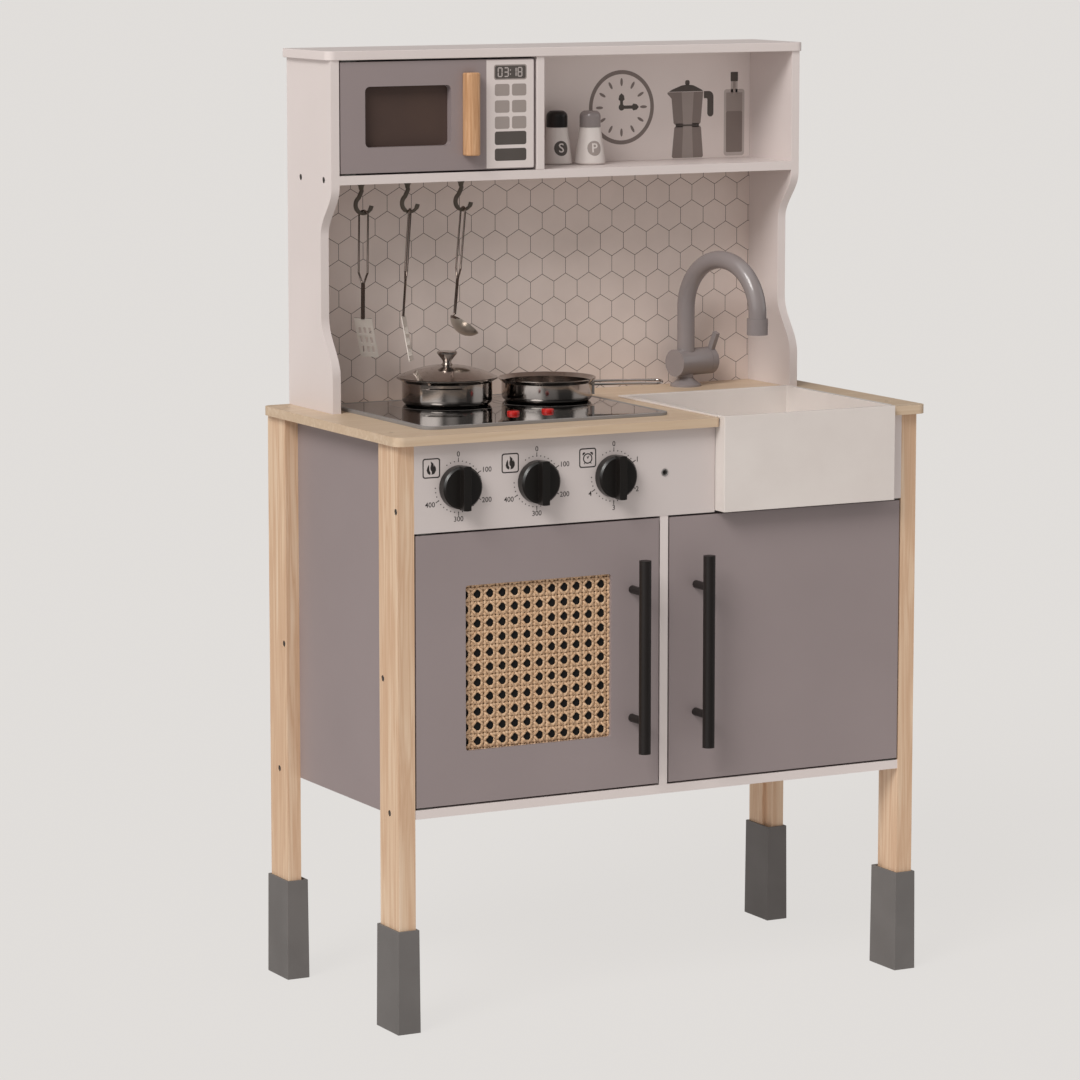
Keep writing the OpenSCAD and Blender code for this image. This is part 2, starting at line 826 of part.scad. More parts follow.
module cupboard_door() {
    color("gray") in_frame() difference() {
        door_blank(1);
        pin_bores(pin_x, pin_y, door_z0, door_z1);
    }
}

module cupboard_handle() { bar_handle(handle_x); }

module mw_window_shape(grow) {
    r = mw_window_r;
    polygon(soft_rect(mw_window_x - grow, mw_window_z - grow, mw_window_x + microwave_window_w + grow,
                      mw_window_z + microwave_window_h + grow, r, r, r, r));
}

module microwave_door() {
    edge_r = 3;
    color("gray") in_frame() difference() {
        plate_xz(mw_y0, board_t) polygon(soft_rect(mw_x0, mw_z0, mw_x1, mw_z1, 0.5, edge_r, edge_r, 0.5));
        plate_xz(mw_y0 - 1, board_t + 2) mw_window_shape(0);
        pin_bores(mw_pin_x, mw_pin_y, mw_z0, mw_z1);
    }
}

// The dark sheet fixed behind the microwave door's window.
module microwave_window() {
    color("black") in_frame() plate_xz(mw_y0 + board_t, mw_glass_t) mw_window_shape(mw_glass_lap);
}

// A wooden grip with a half-round front.
module microwave_handle() {
    w = mw_handle_w / 2;
    z0 = (mw_z0 + mw_z1) / 2 - mw_handle_h / 2 + 1;
    round_r = 6;
    y1 = mw_y0;
    y0 = mw_y0 - mw_handle_t;
    color("burlywood") in_frame() translate([mw_handle_x, 0, z0]) linear_extrude(mw_handle_h)
        polygon(concat([[w, y1], [-w, y1]], arc(-w + round_r, y0 + round_r, round_r, 180, 270),
                       arc(w - round_r, y0 + round_r, round_r, 270, 360)));
}

// KNOBS

// A round knob with a raised grip, its shaft through the panel and a washer behind it.
module knob(i) {
    r = knob_d / 2;
    face = knob_lift + knob_t;
    color("black") in_frame() translate([knob_x[i], -half_d, knob_z]) rotate([90, 0, 0]) {
        rotate_extrude() polygon([[0, knob_lift], [r, knob_lift], [r, face - 2], [r - 2, face], [0, face]]);
        intersection() {
            translate([0, 0, face - 1]) cylinder(r = r + 0.6, h = grip_t + 1);
            block(-grip_w / 2, grip_w / 2, -knob_d, knob_d, 0, face + grip_t);
        }
        translate([0, 0, -board_t - joint_gap]) cylinder(r = shaft_d / 2, h = board_t + joint_gap + knob_lift);
        translate([0, 0, -board_t - joint_gap - washer_t]) cylinder(r = washer_r, h = washer_t);
    }
}

module knob_left() { knob(0); }
module knob_middle() { knob(1); }
module knob_right() { knob(2); }

// COOKWARE

// The wall of a flat-bottomed vessel with a flared rim.
module vessel(r, flare, h) {
    c = pot_corner;
    t = sheet_t;
    rotate_extrude($fn = 96) polygon(concat(
        [[0, 0]], arc(r - c, c, c, 270, 360, 5),
        [[r, h - 4], [r + flare, h - 0.5], [r + flare, h + 0.5], [r - t, h - 3.4]],
        arc(r - c, c, c - t, 360, 270, 5), [[0, t]]));
}

// A flat strap bent round the wall, with two feet on it.
module pot_strap(angle) {
    r = pot_d / 2;
    out = r + pot_strap_out;
    z0 = pot_h / 2 - pot_strap_h / 2;
    foot = 3;
    edge = 0.6;
    rotate(angle - pot_strap_half) {
        rotate_extrude(angle = 2 * pot_strap_half) translate([out - sheet_t, z0]) square([sheet_t, pot_strap_h]);
        for (a = [foot, 2 * pot_strap_half - foot])
            rotate(a) block(r - sheet_t / 2, out - sheet_t / 2, -foot / 2, foot / 2,
                            z0 + edge, z0 + pot_strap_h - edge);
    }
}

module pot() {
    color("silver") in_frame() translate([burner_a.x, burner_a.y, glass_z]) {
        vessel(pot_d / 2, rim_flare, pot_h);
        pot_strap(handle_dir);
        pot_strap(handle_dir + 180);
    }
}

// A shallow dome of even thickness that covers the pot's rim.
module pot_lid() {
    r = pot_d / 2 + rim_flare - 1;
    ball = (r * r + lid_h * lid_h) / (2 * lid_h);
    steps = 8;
    color("silver") in_frame() translate([burner_a.x, burner_a.y, lid_z]) rotate_extrude($fn = 96) polygon(concat(
        [for (i = [0:steps]) [r * i / steps, sqrt(ball * ball - pow(r * i / steps, 2)) - ball + lid_h]],
        [[r, -0.01], [r - 1, 0]],
        [for (i = [steps - 1:-1:0])
            [(r - 2) * i / steps, sqrt(ball * ball - pow((r - 2) * i / steps, 2)) - ball + lid_h - sheet_t]]));
}

module pot_lid_knob() {
    color("silver") in_frame() translate([burner_a.x, burner_a.y, lid_z + lid_h]) rotate_extrude() polygon([
        [0, 0], [6, 0], [4.2, 2], [4.5, 4], [10.2, lid_knob_h - 2.5], [10.2, lid_knob_h - 1],
        [9, lid_knob_h], [0, lid_knob_h]]);
}

// A pan with a wire-loop handle on two feet.
module pan() {
    r = pan_d / 2;
    half = pan_loop_w / 2;
    far = r + pan_handle_len;
    foot_low = 11;
    foot_high = 1.6;
    color("silver") in_frame() translate([burner_b.x, burner_b.y, glass_z]) {
        vessel(r, rim_flare - 2, pan_h);
        rotate(pan_turn) {
            for (s = [-1, 1])
                block(r - 0.9, r + 1.5, s * half - 1.5, s * half + 1.5,
                      pan_handle_z - foot_low, pan_handle_z + foot_high);
            translate([0, 0, pan_handle_z]) rotate([pan_tilt, 0, 0]) {
                for (s = [-1, 1]) {
                    wire([r + 0.3, s * half, 0], [far - half, s * half, 0], pan_wire_r);
                    translate([far - half, s * half, 0]) sphere(r = pan_wire_r * 1.08);
                }
                translate([far - half, 0, 0]) rotate(-90) rotate_extrude(angle = 180)
                    translate([half, 0]) circle(r = pan_wire_r, $fn = 16);
            }
        }
    }
}

module shaker_body(i) {
    r = shaker_d / 2;
    foot_r = 3;
    color("white") in_frame() translate([shakers[i].x, shakers[i].y, shelf_z]) rotate_extrude() polygon(concat(
        [[0, 0]], arc(r - foot_r, foot_r, foot_r, 270, 350, 4),
        [[shaker_top_d / 2, shaker_h - cap_h], [0, shaker_h - cap_h]]));
}

module shaker_cap(i) {
    r = shaker_top_d / 2;
    dome = 6;
    color("dimgray") in_frame() translate([shakers[i].x, shakers[i].y, shelf_z + shaker_h - cap_h]) rotate_extrude()
        polygon(concat([[0, 0], [r, 0]], arc(r - dome, cap_h - dome, dome, 0, 90, 5), [[0, cap_h]]));
}

module salt_shaker() { shaker_body(0); }
module salt_shaker_cap() { shaker_cap(0); }
module pepper_shaker() { shaker_body(1); }
module pepper_shaker_cap() { shaker_cap(1); }

// UTENSILS

// Places a utensil with its loop on a hook, turned about the vertical and leaning to the left.
module at_hook(i) {
    translate([hook_x[i] + hook_shift, hook_y, hook_z]) rotate([0, utensil_lean[i], 0])
        rotate(utensil_turn[i]) children();
}

// The wire loop and the twin stem below it, hanging from the loop's top at z = 0.
module utensil_wire() {
    half = loop_w / 2;
    stem = stem_gap / 2;
    r = wire_d / 2;
    bend_r = r * 1.12;
    neck_z = -loop_len - 10;
    translate([0, 0, -half]) rotate([90, 0, 0]) rotate_extrude(angle = 180)
        translate([half, 0]) circle(r = r, $fn = 16);
    for (s = [-1, 1]) {
        wire([s * half, 0, -half], [s * half, 0, -loop_len], r);
        translate([s * half, 0, -loop_len]) sphere(r = bend_r);
        wire([s * half, 0, -loop_len], [s * stem, 0, neck_z], r);
        translate([s * stem, 0, neck_z]) sphere(r = bend_r);
        wire([s * stem, 0, neck_z], [s * stem, 0, -utensil_len], r);
    }
    block(-stem, stem, -r / 2, r / 2, -utensil_len, neck_z);
}

// A slotted blade that hangs from the stem's end, bent away by an angle.
module utensil_blade(w, h, bend) {
    t = 0.8;
    slots = 3;
    slot_w = w / 7;
    slot_h = h / 6;
    translate([0, 0, -utensil_len + 1]) rotate([bend, 0, 0]) difference() {
        block(-w / 2, w / 2, -t / 2, t / 2, -h, 0);
        for (i = [0:slots - 1], j = [0:slots - 1])
            translate([(i - 1) * w / 3.6, 0, -h * (0.32 + 0.24 * j)])
                block(-slot_w / 2, slot_w / 2, -t, t, -slot_h / 2, slot_h / 2);
    }
}

module wide_turner() {
    color("silver") in_frame() at_hook(0) {
        utensil_wire();
        utensil_blade(20, 43, 22);
    }
}

module slotted_turner() {
    color("silver") in_frame() at_hook(1) {
        utensil_wire();
        utensil_blade(20, 46, -14);
    }
}

// A ladle whose bowl opens up and to the right.
module ladle() {
    bowl_r = 19;
    bowl_t = 1;
    bowl_cut = 9;
    rim_y = -2;
    color("silver") in_frame() at_hook(2) {
        utensil_wire();
        wire([0, 0, 1 - utensil_len], [0, rim_y, -utensil_len - 2], wire_d / 2);
        translate([0, 16.6, -utensil_len - 2.45]) rotate([-32, 0, 0]) difference() {
            sphere(r = bowl_r);
            sphere(r = bowl_r - bowl_t);
            translate([0, 0, -bowl_cut]) cylinder(r = 2 * bowl_r, h = 2 * bowl_r);
        }
    }
}

leg_front_left();
leg_front_right();
leg_back_left();
leg_back_right();
foot_sleeve_front_left();
foot_sleeve_front_right();
foot_sleeve_back_left();
foot_sleeve_back_right();
side_panel_left();
side_panel_right();
base_panel();
cabinet_back_panel();
centre_divider();
control_panel();
sink_filler_strip();
countertop();
hob_tray();
hob_glass();
hob_housing();
hob_button_left();
hob_button_right();
sink();
faucet_flange();
faucet_body();
faucet_spout();
faucet_outlet();
faucet_lever();
upper_side_left();
upper_side_right();
top_board();
shelf();
upper_divider();
upper_back_panel();
backsplash();
cup_hooks();
screws();
door_hinges();
oven_door();
cane_panel();
cane_retainer();
oven_handle();
cupboard_door();
cupboard_handle();
microwave_door();
microwave_window();
microwave_handle();
knob_left();
knob_middle();
knob_right();
pot();
pot_lid();
pot_lid_knob();
pan();
salt_shaker();
salt_shaker_cap();
pepper_shaker();
pepper_shaker_cap();
wide_turner();
slotted_turner();
ladle();
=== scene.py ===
"""Toy kitchen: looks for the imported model, laid out as an add-on."""
import json
import math

import bmesh
import bpy
from mathutils import Matrix, Vector

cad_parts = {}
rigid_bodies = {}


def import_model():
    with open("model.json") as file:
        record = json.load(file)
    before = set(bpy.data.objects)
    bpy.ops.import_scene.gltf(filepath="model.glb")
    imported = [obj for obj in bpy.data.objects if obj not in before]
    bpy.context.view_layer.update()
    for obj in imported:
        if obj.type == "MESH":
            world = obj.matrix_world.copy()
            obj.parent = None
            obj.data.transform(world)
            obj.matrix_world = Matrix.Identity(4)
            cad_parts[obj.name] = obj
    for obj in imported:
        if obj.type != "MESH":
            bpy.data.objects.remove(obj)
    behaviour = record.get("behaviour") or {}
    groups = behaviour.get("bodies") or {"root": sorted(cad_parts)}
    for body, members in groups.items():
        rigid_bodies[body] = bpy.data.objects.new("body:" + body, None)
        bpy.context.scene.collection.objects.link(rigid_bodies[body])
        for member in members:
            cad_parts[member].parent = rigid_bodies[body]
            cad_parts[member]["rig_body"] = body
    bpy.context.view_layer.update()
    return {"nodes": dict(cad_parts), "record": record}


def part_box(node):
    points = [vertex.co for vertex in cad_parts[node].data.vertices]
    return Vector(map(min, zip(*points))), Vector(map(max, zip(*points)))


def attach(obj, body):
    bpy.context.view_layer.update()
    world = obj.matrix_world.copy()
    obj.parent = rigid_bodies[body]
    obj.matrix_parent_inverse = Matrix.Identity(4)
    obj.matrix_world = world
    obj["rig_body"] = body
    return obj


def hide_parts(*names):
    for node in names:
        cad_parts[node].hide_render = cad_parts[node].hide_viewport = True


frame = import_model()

bl_info = {
    "name": "Toy kitchen",
    "version": (1, 0, 0),
    "blender": (4, 5, 0),
    "location": "3D View > Sidebar > Toy kitchen",
    "description": "Builds the finishes and the fine detail of a toy kitchen around its packed model",
    "category": "Object",
}

NODES = frame["nodes"]
MM = 0.001
TAU = 2 * math.pi
PLASTIC_IOR = 1.5
FINISH = {}


# COLOURS AND NODES

def linear(code, alpha=1.0):
    """A linear colour from an sRGB hex value."""
    channels = [int(code[i:i + 2], 16) / 255 for i in (1, 3, 5)]
    return tuple(c / 12.92 if c <= 0.04045 else ((c + 0.055) / 1.055) ** 2.4 for c in channels) + (alpha,)


def add(tree, kind, settings=None, **inputs):
    """A new node with its settings, values and links. _0 is the first input, Base_Color is "Base Color"."""
    node = tree.nodes.new(kind)
    for key, value in (settings or {}).items():
        setattr(node, key, value)
    for key, value in inputs.items():
        socket = node.inputs[int(key[1:])] if key[1:].isdigit() else node.inputs[key.replace("_", " ")]
        if isinstance(value, bpy.types.NodeSocket):
            tree.links.new(value, socket)
        else:
            socket.default_value = value
    return node


def colour(value):
    """A hex value or a colour property as a linear colour."""
    return linear(value) if isinstance(value, str) else (*value[:3], 1.0)


def ramp(tree, factor, stops):
    """A colour ramp through (position, colour) stops."""
    node = add(tree, "ShaderNodeValToRGB", Fac=factor)
    elements = node.color_ramp.elements
    elements.remove(elements[1])
    elements[0].position, elements[0].color = stops[0][0], colour(stops[0][1])
    for position, value in stops[1:]:
        elements.new(position).color = colour(value)
    return node.outputs["Color"]


def surface(name):
    """A fresh material, kept under its name; returns its tree, its shader and its Object coordinates."""
    material = bpy.data.materials.new(name)
    material.use_nodes = True
    tree = material.node_tree
    shader = tree.nodes["Principled BSDF"]
    coordinates = add(tree, "ShaderNodeTexCoord").outputs["Object"]
    FINISH[name] = material
    return tree, shader, coordinates


def noise(tree, where, grain_mm, detail=3.0, stretch=(1, 1, 1), distort=0.0):
    """Noise whose features are about grain_mm across; stretch makes them longer along an axis."""
    mapped = add(tree, "ShaderNodeMapping", Vector=where, Scale=[1 / s for s in stretch])
    return add(tree, "ShaderNodeTexNoise", Vector=mapped.outputs[0], Scale=1 / (grain_mm * MM), Detail=detail,
               Distortion=distort).outputs["Fac"]


def span(tree, value, low, high):
    """Maps 0..1 to low..high."""
    return add(tree, "ShaderNodeMapRange", _0=value, _3=low, _4=high).outputs[0]


def bump(tree, shader, height, depth_mm, strength=1.0):
    node = add(tree, "ShaderNodeBump", Height=height, Distance=depth_mm * MM, Strength=strength)
    tree.links.new(node.outputs[0], shader.inputs["Normal"])


def tinted(tree, shader, where, light, dark, blotch_mm):
    """Base colour that drifts a little between two tones."""
    drift = noise(tree, where, blotch_mm, 4.0)
    tree.links.new(ramp(tree, drift, [(0.3, dark), (0.7, light)]), shader.inputs["Base Color"])


def painted(name, light, dark, rough=0.42):
    """Fibreboard with a rolled satin acrylic paint: an even tone, a faint roller stipple, soft highlights."""
    tree, shader, where = surface(name)
    tinted(tree, shader, where, light, dark, 140)
    stipple = noise(tree, where, 0.9, 2.0)
    tree.links.new(span(tree, stipple, rough - 0.05, rough + 0.07), shader.inputs["Roughness"])
    bump(tree, shader, stipple, 0.02, 0.35)


def timber(name, stops, along, ring_mm=7.0, rough=0.45):
    """Planed softwood under a clear matte lacquer: long growth lines, fine fibres, a low sheen."""
    tree, shader, where = surface(name)
    stretch = [1, 1, 1]
    stretch[along] = 26
    rings = noise(tree, where, ring_mm, 3.0, stretch, 0.6)
    stretch[along] = 60
    fibres = noise(tree, where, 0.7, 2.0, stretch)
    bands = math_node(tree, "PINGPONG", math_node(tree, "MULTIPLY", rings, 4.2), 1.0)
    mixed = add(tree, "ShaderNodeMix", {"data_type": "FLOAT"}, _0=0.28, _2=bands, _3=fibres).outputs[0]
    tree.links.new(ramp(tree, mixed, stops), shader.inputs["Base Color"])
    tree.links.new(span(tree, fibres, rough - 0.06, rough + 0.08), shader.inputs["Roughness"])
    bump(tree, shader, mixed, 0.05, 0.4)


def moulded(name, light, dark, rough, grain_mm=0.5, depth_mm=0.02):
    """Moulded plastic or powder coat: even colour with a fine grain that breaks up the highlight."""
    tree, shader, where = surface(name)
    tinted(tree, shader, where, light, dark, 60)
    grain = noise(tree, where, grain_mm, 2.0)
    tree.links.new(span(tree, grain, rough - 0.04, rough + 0.05), shader.inputs["Roughness"])
    shader.inputs["IOR"].default_value = PLASTIC_IOR
    bump(tree, shader, grain, depth_mm, 0.4)


def steel(name, light, dark, rough, brushed=(1, 1, 1), metallic=1.0):
    """Stainless steel, drawn and polished: clear reflections, a little soft from fine buffing lines.
    A metallic value under 1 stands for the fine matt scale that a pressed sheet keeps."""
    tree, shader, where = surface(name)
    tinted(tree, shader, where, light, dark, 30)
    shader.inputs["Metallic"].default_value = metallic
    lines = noise(tree, where, 0.35, 2.0, brushed)
    tree.links.new(span(tree, lines, rough - 0.03, rough + 0.05), shader.inputs["Roughness"])
    bump(tree, shader, lines, 0.002, 0.25)


def make_materials(sizes):
    """Every finish of the kitchen, by name."""
    white, grey = sizes.white_paint, sizes.grey_paint
    painted("white paint", white, [c * 0.95 for c in white])
    painted("grey paint", grey, [c * 0.93 for c in grey])
    # The control panel's white is the white paint at 0.84: painted shade, for the dimmer light on the panel's
    # front
    painted("panel white", [c * 0.84 for c in white], [c * 0.8 for c in white])
    painted("back print white", "#E6DBD7", "#DFD4D0", 0.55)
    timber("pine", [(0.1, "#C9A485"), (0.5, "#D8BA9D"), (0.9, "#E0C7AE")], 2)
    timber("pine grip", [(0.15, "#B98A62"), (0.5, "#CFA27A"), (0.85, "#D8B08A")], 2, 3.5)
    timber("counter foil", [(0.1, "#C4AB90"), (0.5, "#CCB59C"), (0.9, "#D2BDA6")], 0, 9.0, 0.38)
    moulded("sleeve plastic", "#6F6B69", "#676361", 0.6, 0.6, 0.03)
    moulded("faucet plastic", "#8B8281", "#847C7C", 0.16, 3.0, 0.004)
    moulded("hob rim plastic", "#8A8684", "#827E7C", 0.4)
    moulded("sink plastic", "#DDD5D0", "#D7CEC9", 0.3, 2.0, 0.01)
    moulded("black powder coat", "#1B1513", "#16110F", 0.4, 0.35, 0.03)
    moulded("black plastic", "#1A1614", "#151210", 0.34, 0.5, 0.015)
    moulded("red plastic", "#C8201A", "#B81813", 0.18, 2.0, 0.005)
    moulded("smoked window", "#51413B", "#4A3C38", 0.1, 3.0, 0.003)
    moulded("shaker white", "#DCD4D0", "#D4CBC7", 0.4, 1.0, 0.01)
    moulded("bronze", "#5C5349", "#4C443C", 0.34, 0.6, 0.01)
    # Near-black matt sheet behind the cane: painted shade
    moulded("black cloth", "#0C0A0A", "#070606", 0.9, 0.8, 0.1)
    moulded("tile print", "#DFD0C9", "#D5C6BF", 0.42, 0.5, 0.01)
    moulded("joint print", "#54453F", "#4B3E38", 0.6)
    moulded("dark print", "#57504C", "#504945", 0.5)
    moulded("ink", "#2E2826", "#282321", 0.5)
    moulded("mid print", "#877B76", "#80746F", 0.5)
    moulded("light print", "#9F948F", "#988D88", 0.5)
    moulded("pale print", "#BDB3AF", "#B6ACA8", 0.5)
    moulded("hob print", "#77716E", "#6F6966", 0.35)
    steel("polished steel", "#B9B0AA", "#A79E98", 0.12)
    steel("drawn wire", "#7D7069", "#70645E", 0.25)
    steel("brushed steel", "#E8E0D8", "#D8D0C8", 0.5, (1, 1, 14), metallic=0.45)
    steel("satin steel", "#B9B0A6", "#A69D94", 0.3, metallic=0.75)
    steel("zinc", "#A39F9B", "#8F8B87", 0.35)
    hob_glass()
    rattan()


def hob_glass():
    """Printed acrylic sheet in place of glass: deep black, near-mirror gloss with slight ripple."""
    tree, shader, where = surface("hob acrylic")
    tinted(tree, shader, where, "#0D0C0C", "#080808", 90)
    shader.inputs["Roughness"].default_value = 0.05
    shader.inputs["Coat Weight"].default_value = 0.6
    shader.inputs["Coat Roughness"].default_value = 0.03
    bump(tree, shader, noise(tree, where, 30, 1.0), 0.04, 0.15)


def rattan():
    """Split rattan cane: warm straw with darker flecks along the strand and a waxy sheen."""
    tree, shader, where = surface("rattan")
    fleck = noise(tree, where, 2.2, 4.0)
    tree.links.new(ramp(tree, fleck, [(0.25, "#A8835F"), (0.5, "#CDA987"), (0.75, "#DFC0A0")]),
                   shader.inputs["Base Color"])
    shader.inputs["Roughness"].default_value = 0.45
    bump(tree, shader, noise(tree, where, 0.5, 2.0), 0.05, 0.5)


# MESH BUILDING

class Shape:
    """Vertices, faces and material numbers of a piece that is being put together, in millimetres."""

    def __init__(self):
        self.points, self.faces, self.slots = [], [], []

    def join(self, points, faces, slot=0, place=Matrix()):
        start = len(self.points)
        self.points += [place @ Vector(p) for p in points]
        self.faces += [[start + i for i in f] for f in faces]
        self.slots += [slot] * len(faces)
        return self

    def turn(self, profile, slot=0, place=Matrix(), steps=64):
        return self.join(*lathe(profile, steps), slot, place)

    def tube(self, path, radius, slot=0, sides=14, closed=False, flat=1.0):
        return self.join(*sweep(path, radius, sides, closed, flat), slot)

    def slab(self, outline, low, high, slot=0, place=Matrix(), holes=()):
        return self.join(*extrude(outline, low, high, holes), slot, place)

    def printed(self, outline, place, slot=0, layer=0, holes=()):
        """A printed mark, one ink layer thick, on top of the layers under it."""
        return self.slab(outline, INK * layer, INK * (layer + 1), slot, place, holes)


def lathe(profile, steps=64):
    """A profile of (radius, height) turned round Z. A radius of 0 becomes one point."""
    points, rows, faces = [], [], []
    for radius, height in profile:
        if radius < 1e-6:
            rows.append([len(points)] * steps)
            points.append((0, 0, height))
        else:
            rows.append(list(range(len(points), len(points) + steps)))
            points += [(radius * math.cos(TAU * i / steps), radius * math.sin(TAU * i / steps), height)
                       for i in range(steps)]
    for low, high in zip(rows, rows[1:]):
        for i in range(steps):
            j = (i + 1) % steps
            loop = [low[i], low[j], high[j], high[i]]
            loop = [p for k, p in enumerate(loop) if p not in loop[:k]]
            if len(loop) > 2:
                faces.append(loop)
    return points, faces


def rounded(profile, radius, steps=4):
    """A profile with its inner corners cut to short arcs."""
    out = [profile[0]]
    for a, b, c in zip(profile, profile[1:], profile[2:]):
        a, b, c = Vector(a), Vector(b), Vector(c)
        cut = min(radius, (a - b).length * 0.45, (c - b).length * 0.45)
        start, end = b + (a - b).normalized() * cut, b + (c - b).normalized() * cut
        for i in range(steps + 1):
            t = i / steps
            out.append(tuple(start * (1 - t) ** 2 + b * 2 * t * (1 - t) + end * t ** 2))
    return out + [profile[-1]]


def sweep(path, radius, sides=14, closed=False, flat=1.0):
    """A tube along a path; flat squashes it along its second axis."""
    path = [Vector(p) for p in path]
    count = len(path)
    normal = None
    points, faces = [], []
    for i, here in enumerate(path):
        before = path[i - 1] if i or closed else here
        after = path[(i + 1) % count] if i < count - 1 or closed else here
        along = (after - before).normalized()
        if normal is None:
            normal = along.orthogonal().normalized()
            if abs(along.y) < 0.9:
                normal = (Vector((0, 1, 0)) - along * along.y).normalized()
        normal = (normal - along * normal.dot(along)).normalized()
        side = along.cross(normal)
        r = radius[i] if isinstance(radius, (list, tuple)) else radius
        for k in range(sides):
            a = TAU * k / sides
            points.append(here + side * (r * math.cos(a)) + normal * (r * flat * math.sin(a)))
    rings = count if closed else count - 1
    for i in range(rings):
        for k in range(sides):
            m = (k + 1) % sides
            a, b = i * sides, ((i + 1) % count) * sides
            faces.append([a + k, a + m, b + m, b + k])
    if not closed:
        faces += [list(range(sides))[::-1], [len(points) - sides + k for k in range(sides)]]
    return points, faces


def extrude(outline, low, high, holes=()):
    """An outline in X and Y given a thickness; holes are outlines too."""
    bm = bmesh.new()
    edges = []
    for loop in [outline, *holes]:
        verts = [bm.verts.new((x, y, low)) for x, y in loop]
        edges += [bm.edges.new((a, b)) for a, b in zip(verts, verts[1:] + verts[:1])]
    bmesh.ops.triangle_fill(bm, edges=edges, use_beauty=True)
    if not holes:
        bmesh.ops.dissolve_limit(bm, angle_limit=0.01, verts=bm.verts, edges=bm.edges)
    top = bmesh.ops.extrude_face_region(bm, geom=bm.faces[:])
    raised = [item for item in top["geom"] if isinstance(item, bmesh.types.BMVert)]
    bmesh.ops.translate(bm, vec=(0, 0, high - low), verts=raised)
    bmesh.ops.recalc_face_normals(bm, faces=bm.faces)
    bm.verts.index_update()
    result = [tuple(v.co) for v in bm.verts], [[v.index for v in f.verts] for f in bm.faces]
    bm.free()
    return result


def arc(cx, cy, radius, start, end, steps=8):
    """Points along a round stretch between two angles in degrees."""
    angles = [math.radians(start + (end - start) * i / steps) for i in range(steps + 1)]
    return [(cx + radius * math.cos(a), cy + radius * math.sin(a)) for a in angles]


def soft_box(x0, y0, x1, y1, r, steps=5):
    """A rectangle with round corners."""
    return (arc(x0 + r, y0 + r, r, 180, 270, steps) + arc(x1 - r, y0 + r, r, 270, 360, steps)
            + arc(x1 - r, y1 - r, r, 0, 90, steps) + arc(x0 + r, y1 - r, r, 90, 180, steps))


def upright(y):
    """Places a flat outline in X and Z so that its thickness runs towards the front from y."""
    return Matrix(((1, 0, 0, 0), (0, 0, -1, y), (0, 1, 0, 0), (0, 0, 0, 1)))


def finished(name, shape, finishes, body, replaces=(), ease=0.0, segments=3, sharp=38):
    """Makes a piece of a Shape: shells face outwards, a bevel eases the edges, and it rides on a body."""
    mesh = bpy.data.meshes.new(name)
    mesh.from_pydata([tuple(p * MM) for p in map(Vector, shape.points)], [], shape.faces)
    mesh.polygons.foreach_set("material_index", shape.slots)
    for finish in finishes:
        mesh.materials.append(FINISH[finish])
    bm = bmesh.new()
    bm.from_mesh(mesh)
    bmesh.ops.remove_doubles(bm, verts=bm.verts, dist=1e-6)
    bmesh.ops.recalc_face_normals(bm, faces=bm.faces)
    bm.to_mesh(mesh)
    bm.free()
    mesh.shade_smooth()
    piece = bpy.data.objects.new(name, mesh)
    bpy.context.scene.collection.objects.link(piece)
    if ease:
        settle(piece, ease, segments)
    else:
        mesh.set_sharp_from_angle(angle=math.radians(sharp))
    return placed(piece, body, replaces)


def settle(piece, ease, segments):
    """Eases a piece's edges by a small radius and keeps its flats flat in the shading."""
    edge = piece.modifiers.new("Eased edge", "BEVEL")
    edge.width = ease * MM
    edge.segments = segments
    edge.limit_method = "ANGLE"
    edge.angle_limit = math.radians(40)
    even = piece.modifiers.new("Even shading", "WEIGHTED_NORMAL")
    even.keep_sharp = True
    baked(piece)


def baked(piece):
    """Applies a piece's modifiers."""
    graph = bpy.context.evaluated_depsgraph_get()
    mesh = bpy.data.meshes.new_from_object(piece.evaluated_get(graph))
    piece.modifiers.clear()
    piece.data = mesh
    mesh.name = piece.name


def placed(piece, body, replaces=()):
    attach(piece, body)
    if replaces:
        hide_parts(*replaces)
    return piece


def body_of(node):
    return NODES[node]["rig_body"]


def slot_of(node):
    return next(s["material_slot"] for s in frame["record"]["subparts"] if s["node"] == node)


def copy_of(node, finish, ease=0.0, segments=3, sharp=32, second=None, below=0.0):
    """A copy of a CAD part for its looks: flats joined to single faces, then eased or smoothed.
    Faces less than below millimetres above the part's foot take the second finish."""
    bm = bmesh.new()
    source = NODES[node].data
    verts = [bm.verts.new(v.co) for v in source.vertices]
    for polygon in source.polygons:
        bm.faces.new([verts[i] for i in polygon.vertices])
    bmesh.ops.remove_doubles(bm, verts=bm.verts, dist=2e-6)
    bmesh.ops.dissolve_limit(bm, angle_limit=math.radians(0.4), verts=bm.verts, edges=bm.edges)
    bm.verts.index_update()
    shape = Shape().join([v.co / MM for v in bm.verts], [[v.index for v in f.verts] for f in bm.faces])
    level = min(v.co.z for v in bm.verts) / MM + below
    shape.slots = [int(f.calc_center_median().z / MM < level) for f in bm.faces] if second else shape.slots
    bm.free()
    body, slot = body_of(node), slot_of(node)
    finishes = [finish, second or finish]
    return finished(f"{node}_look", shape, finishes, body, [node], ease, segments, sharp)


def corners(node):
    """A CAD node's box in millimetres."""
    low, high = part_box(node)
    return low / MM, high / MM


def middle(node):
    low, high = corners(node)
    return (low + high) / 2


# REPEATS

def repeat_tree(name, sockets):
    """A Geometry Nodes tree with named inputs; returns it with its input and output nodes."""
    tree = bpy.data.node_groups.new(name, "GeometryNodeTree")
    for label, kind in [("Geometry", "NodeSocketGeometry"), *sockets]:
        tree.interface.new_socket(label, in_out="INPUT", socket_type=kind)
    tree.interface.new_socket("Geometry", in_out="OUTPUT", socket_type="NodeSocketGeometry")
    return tree, add(tree, "NodeGroupInput"), add(tree, "NodeGroupOutput")


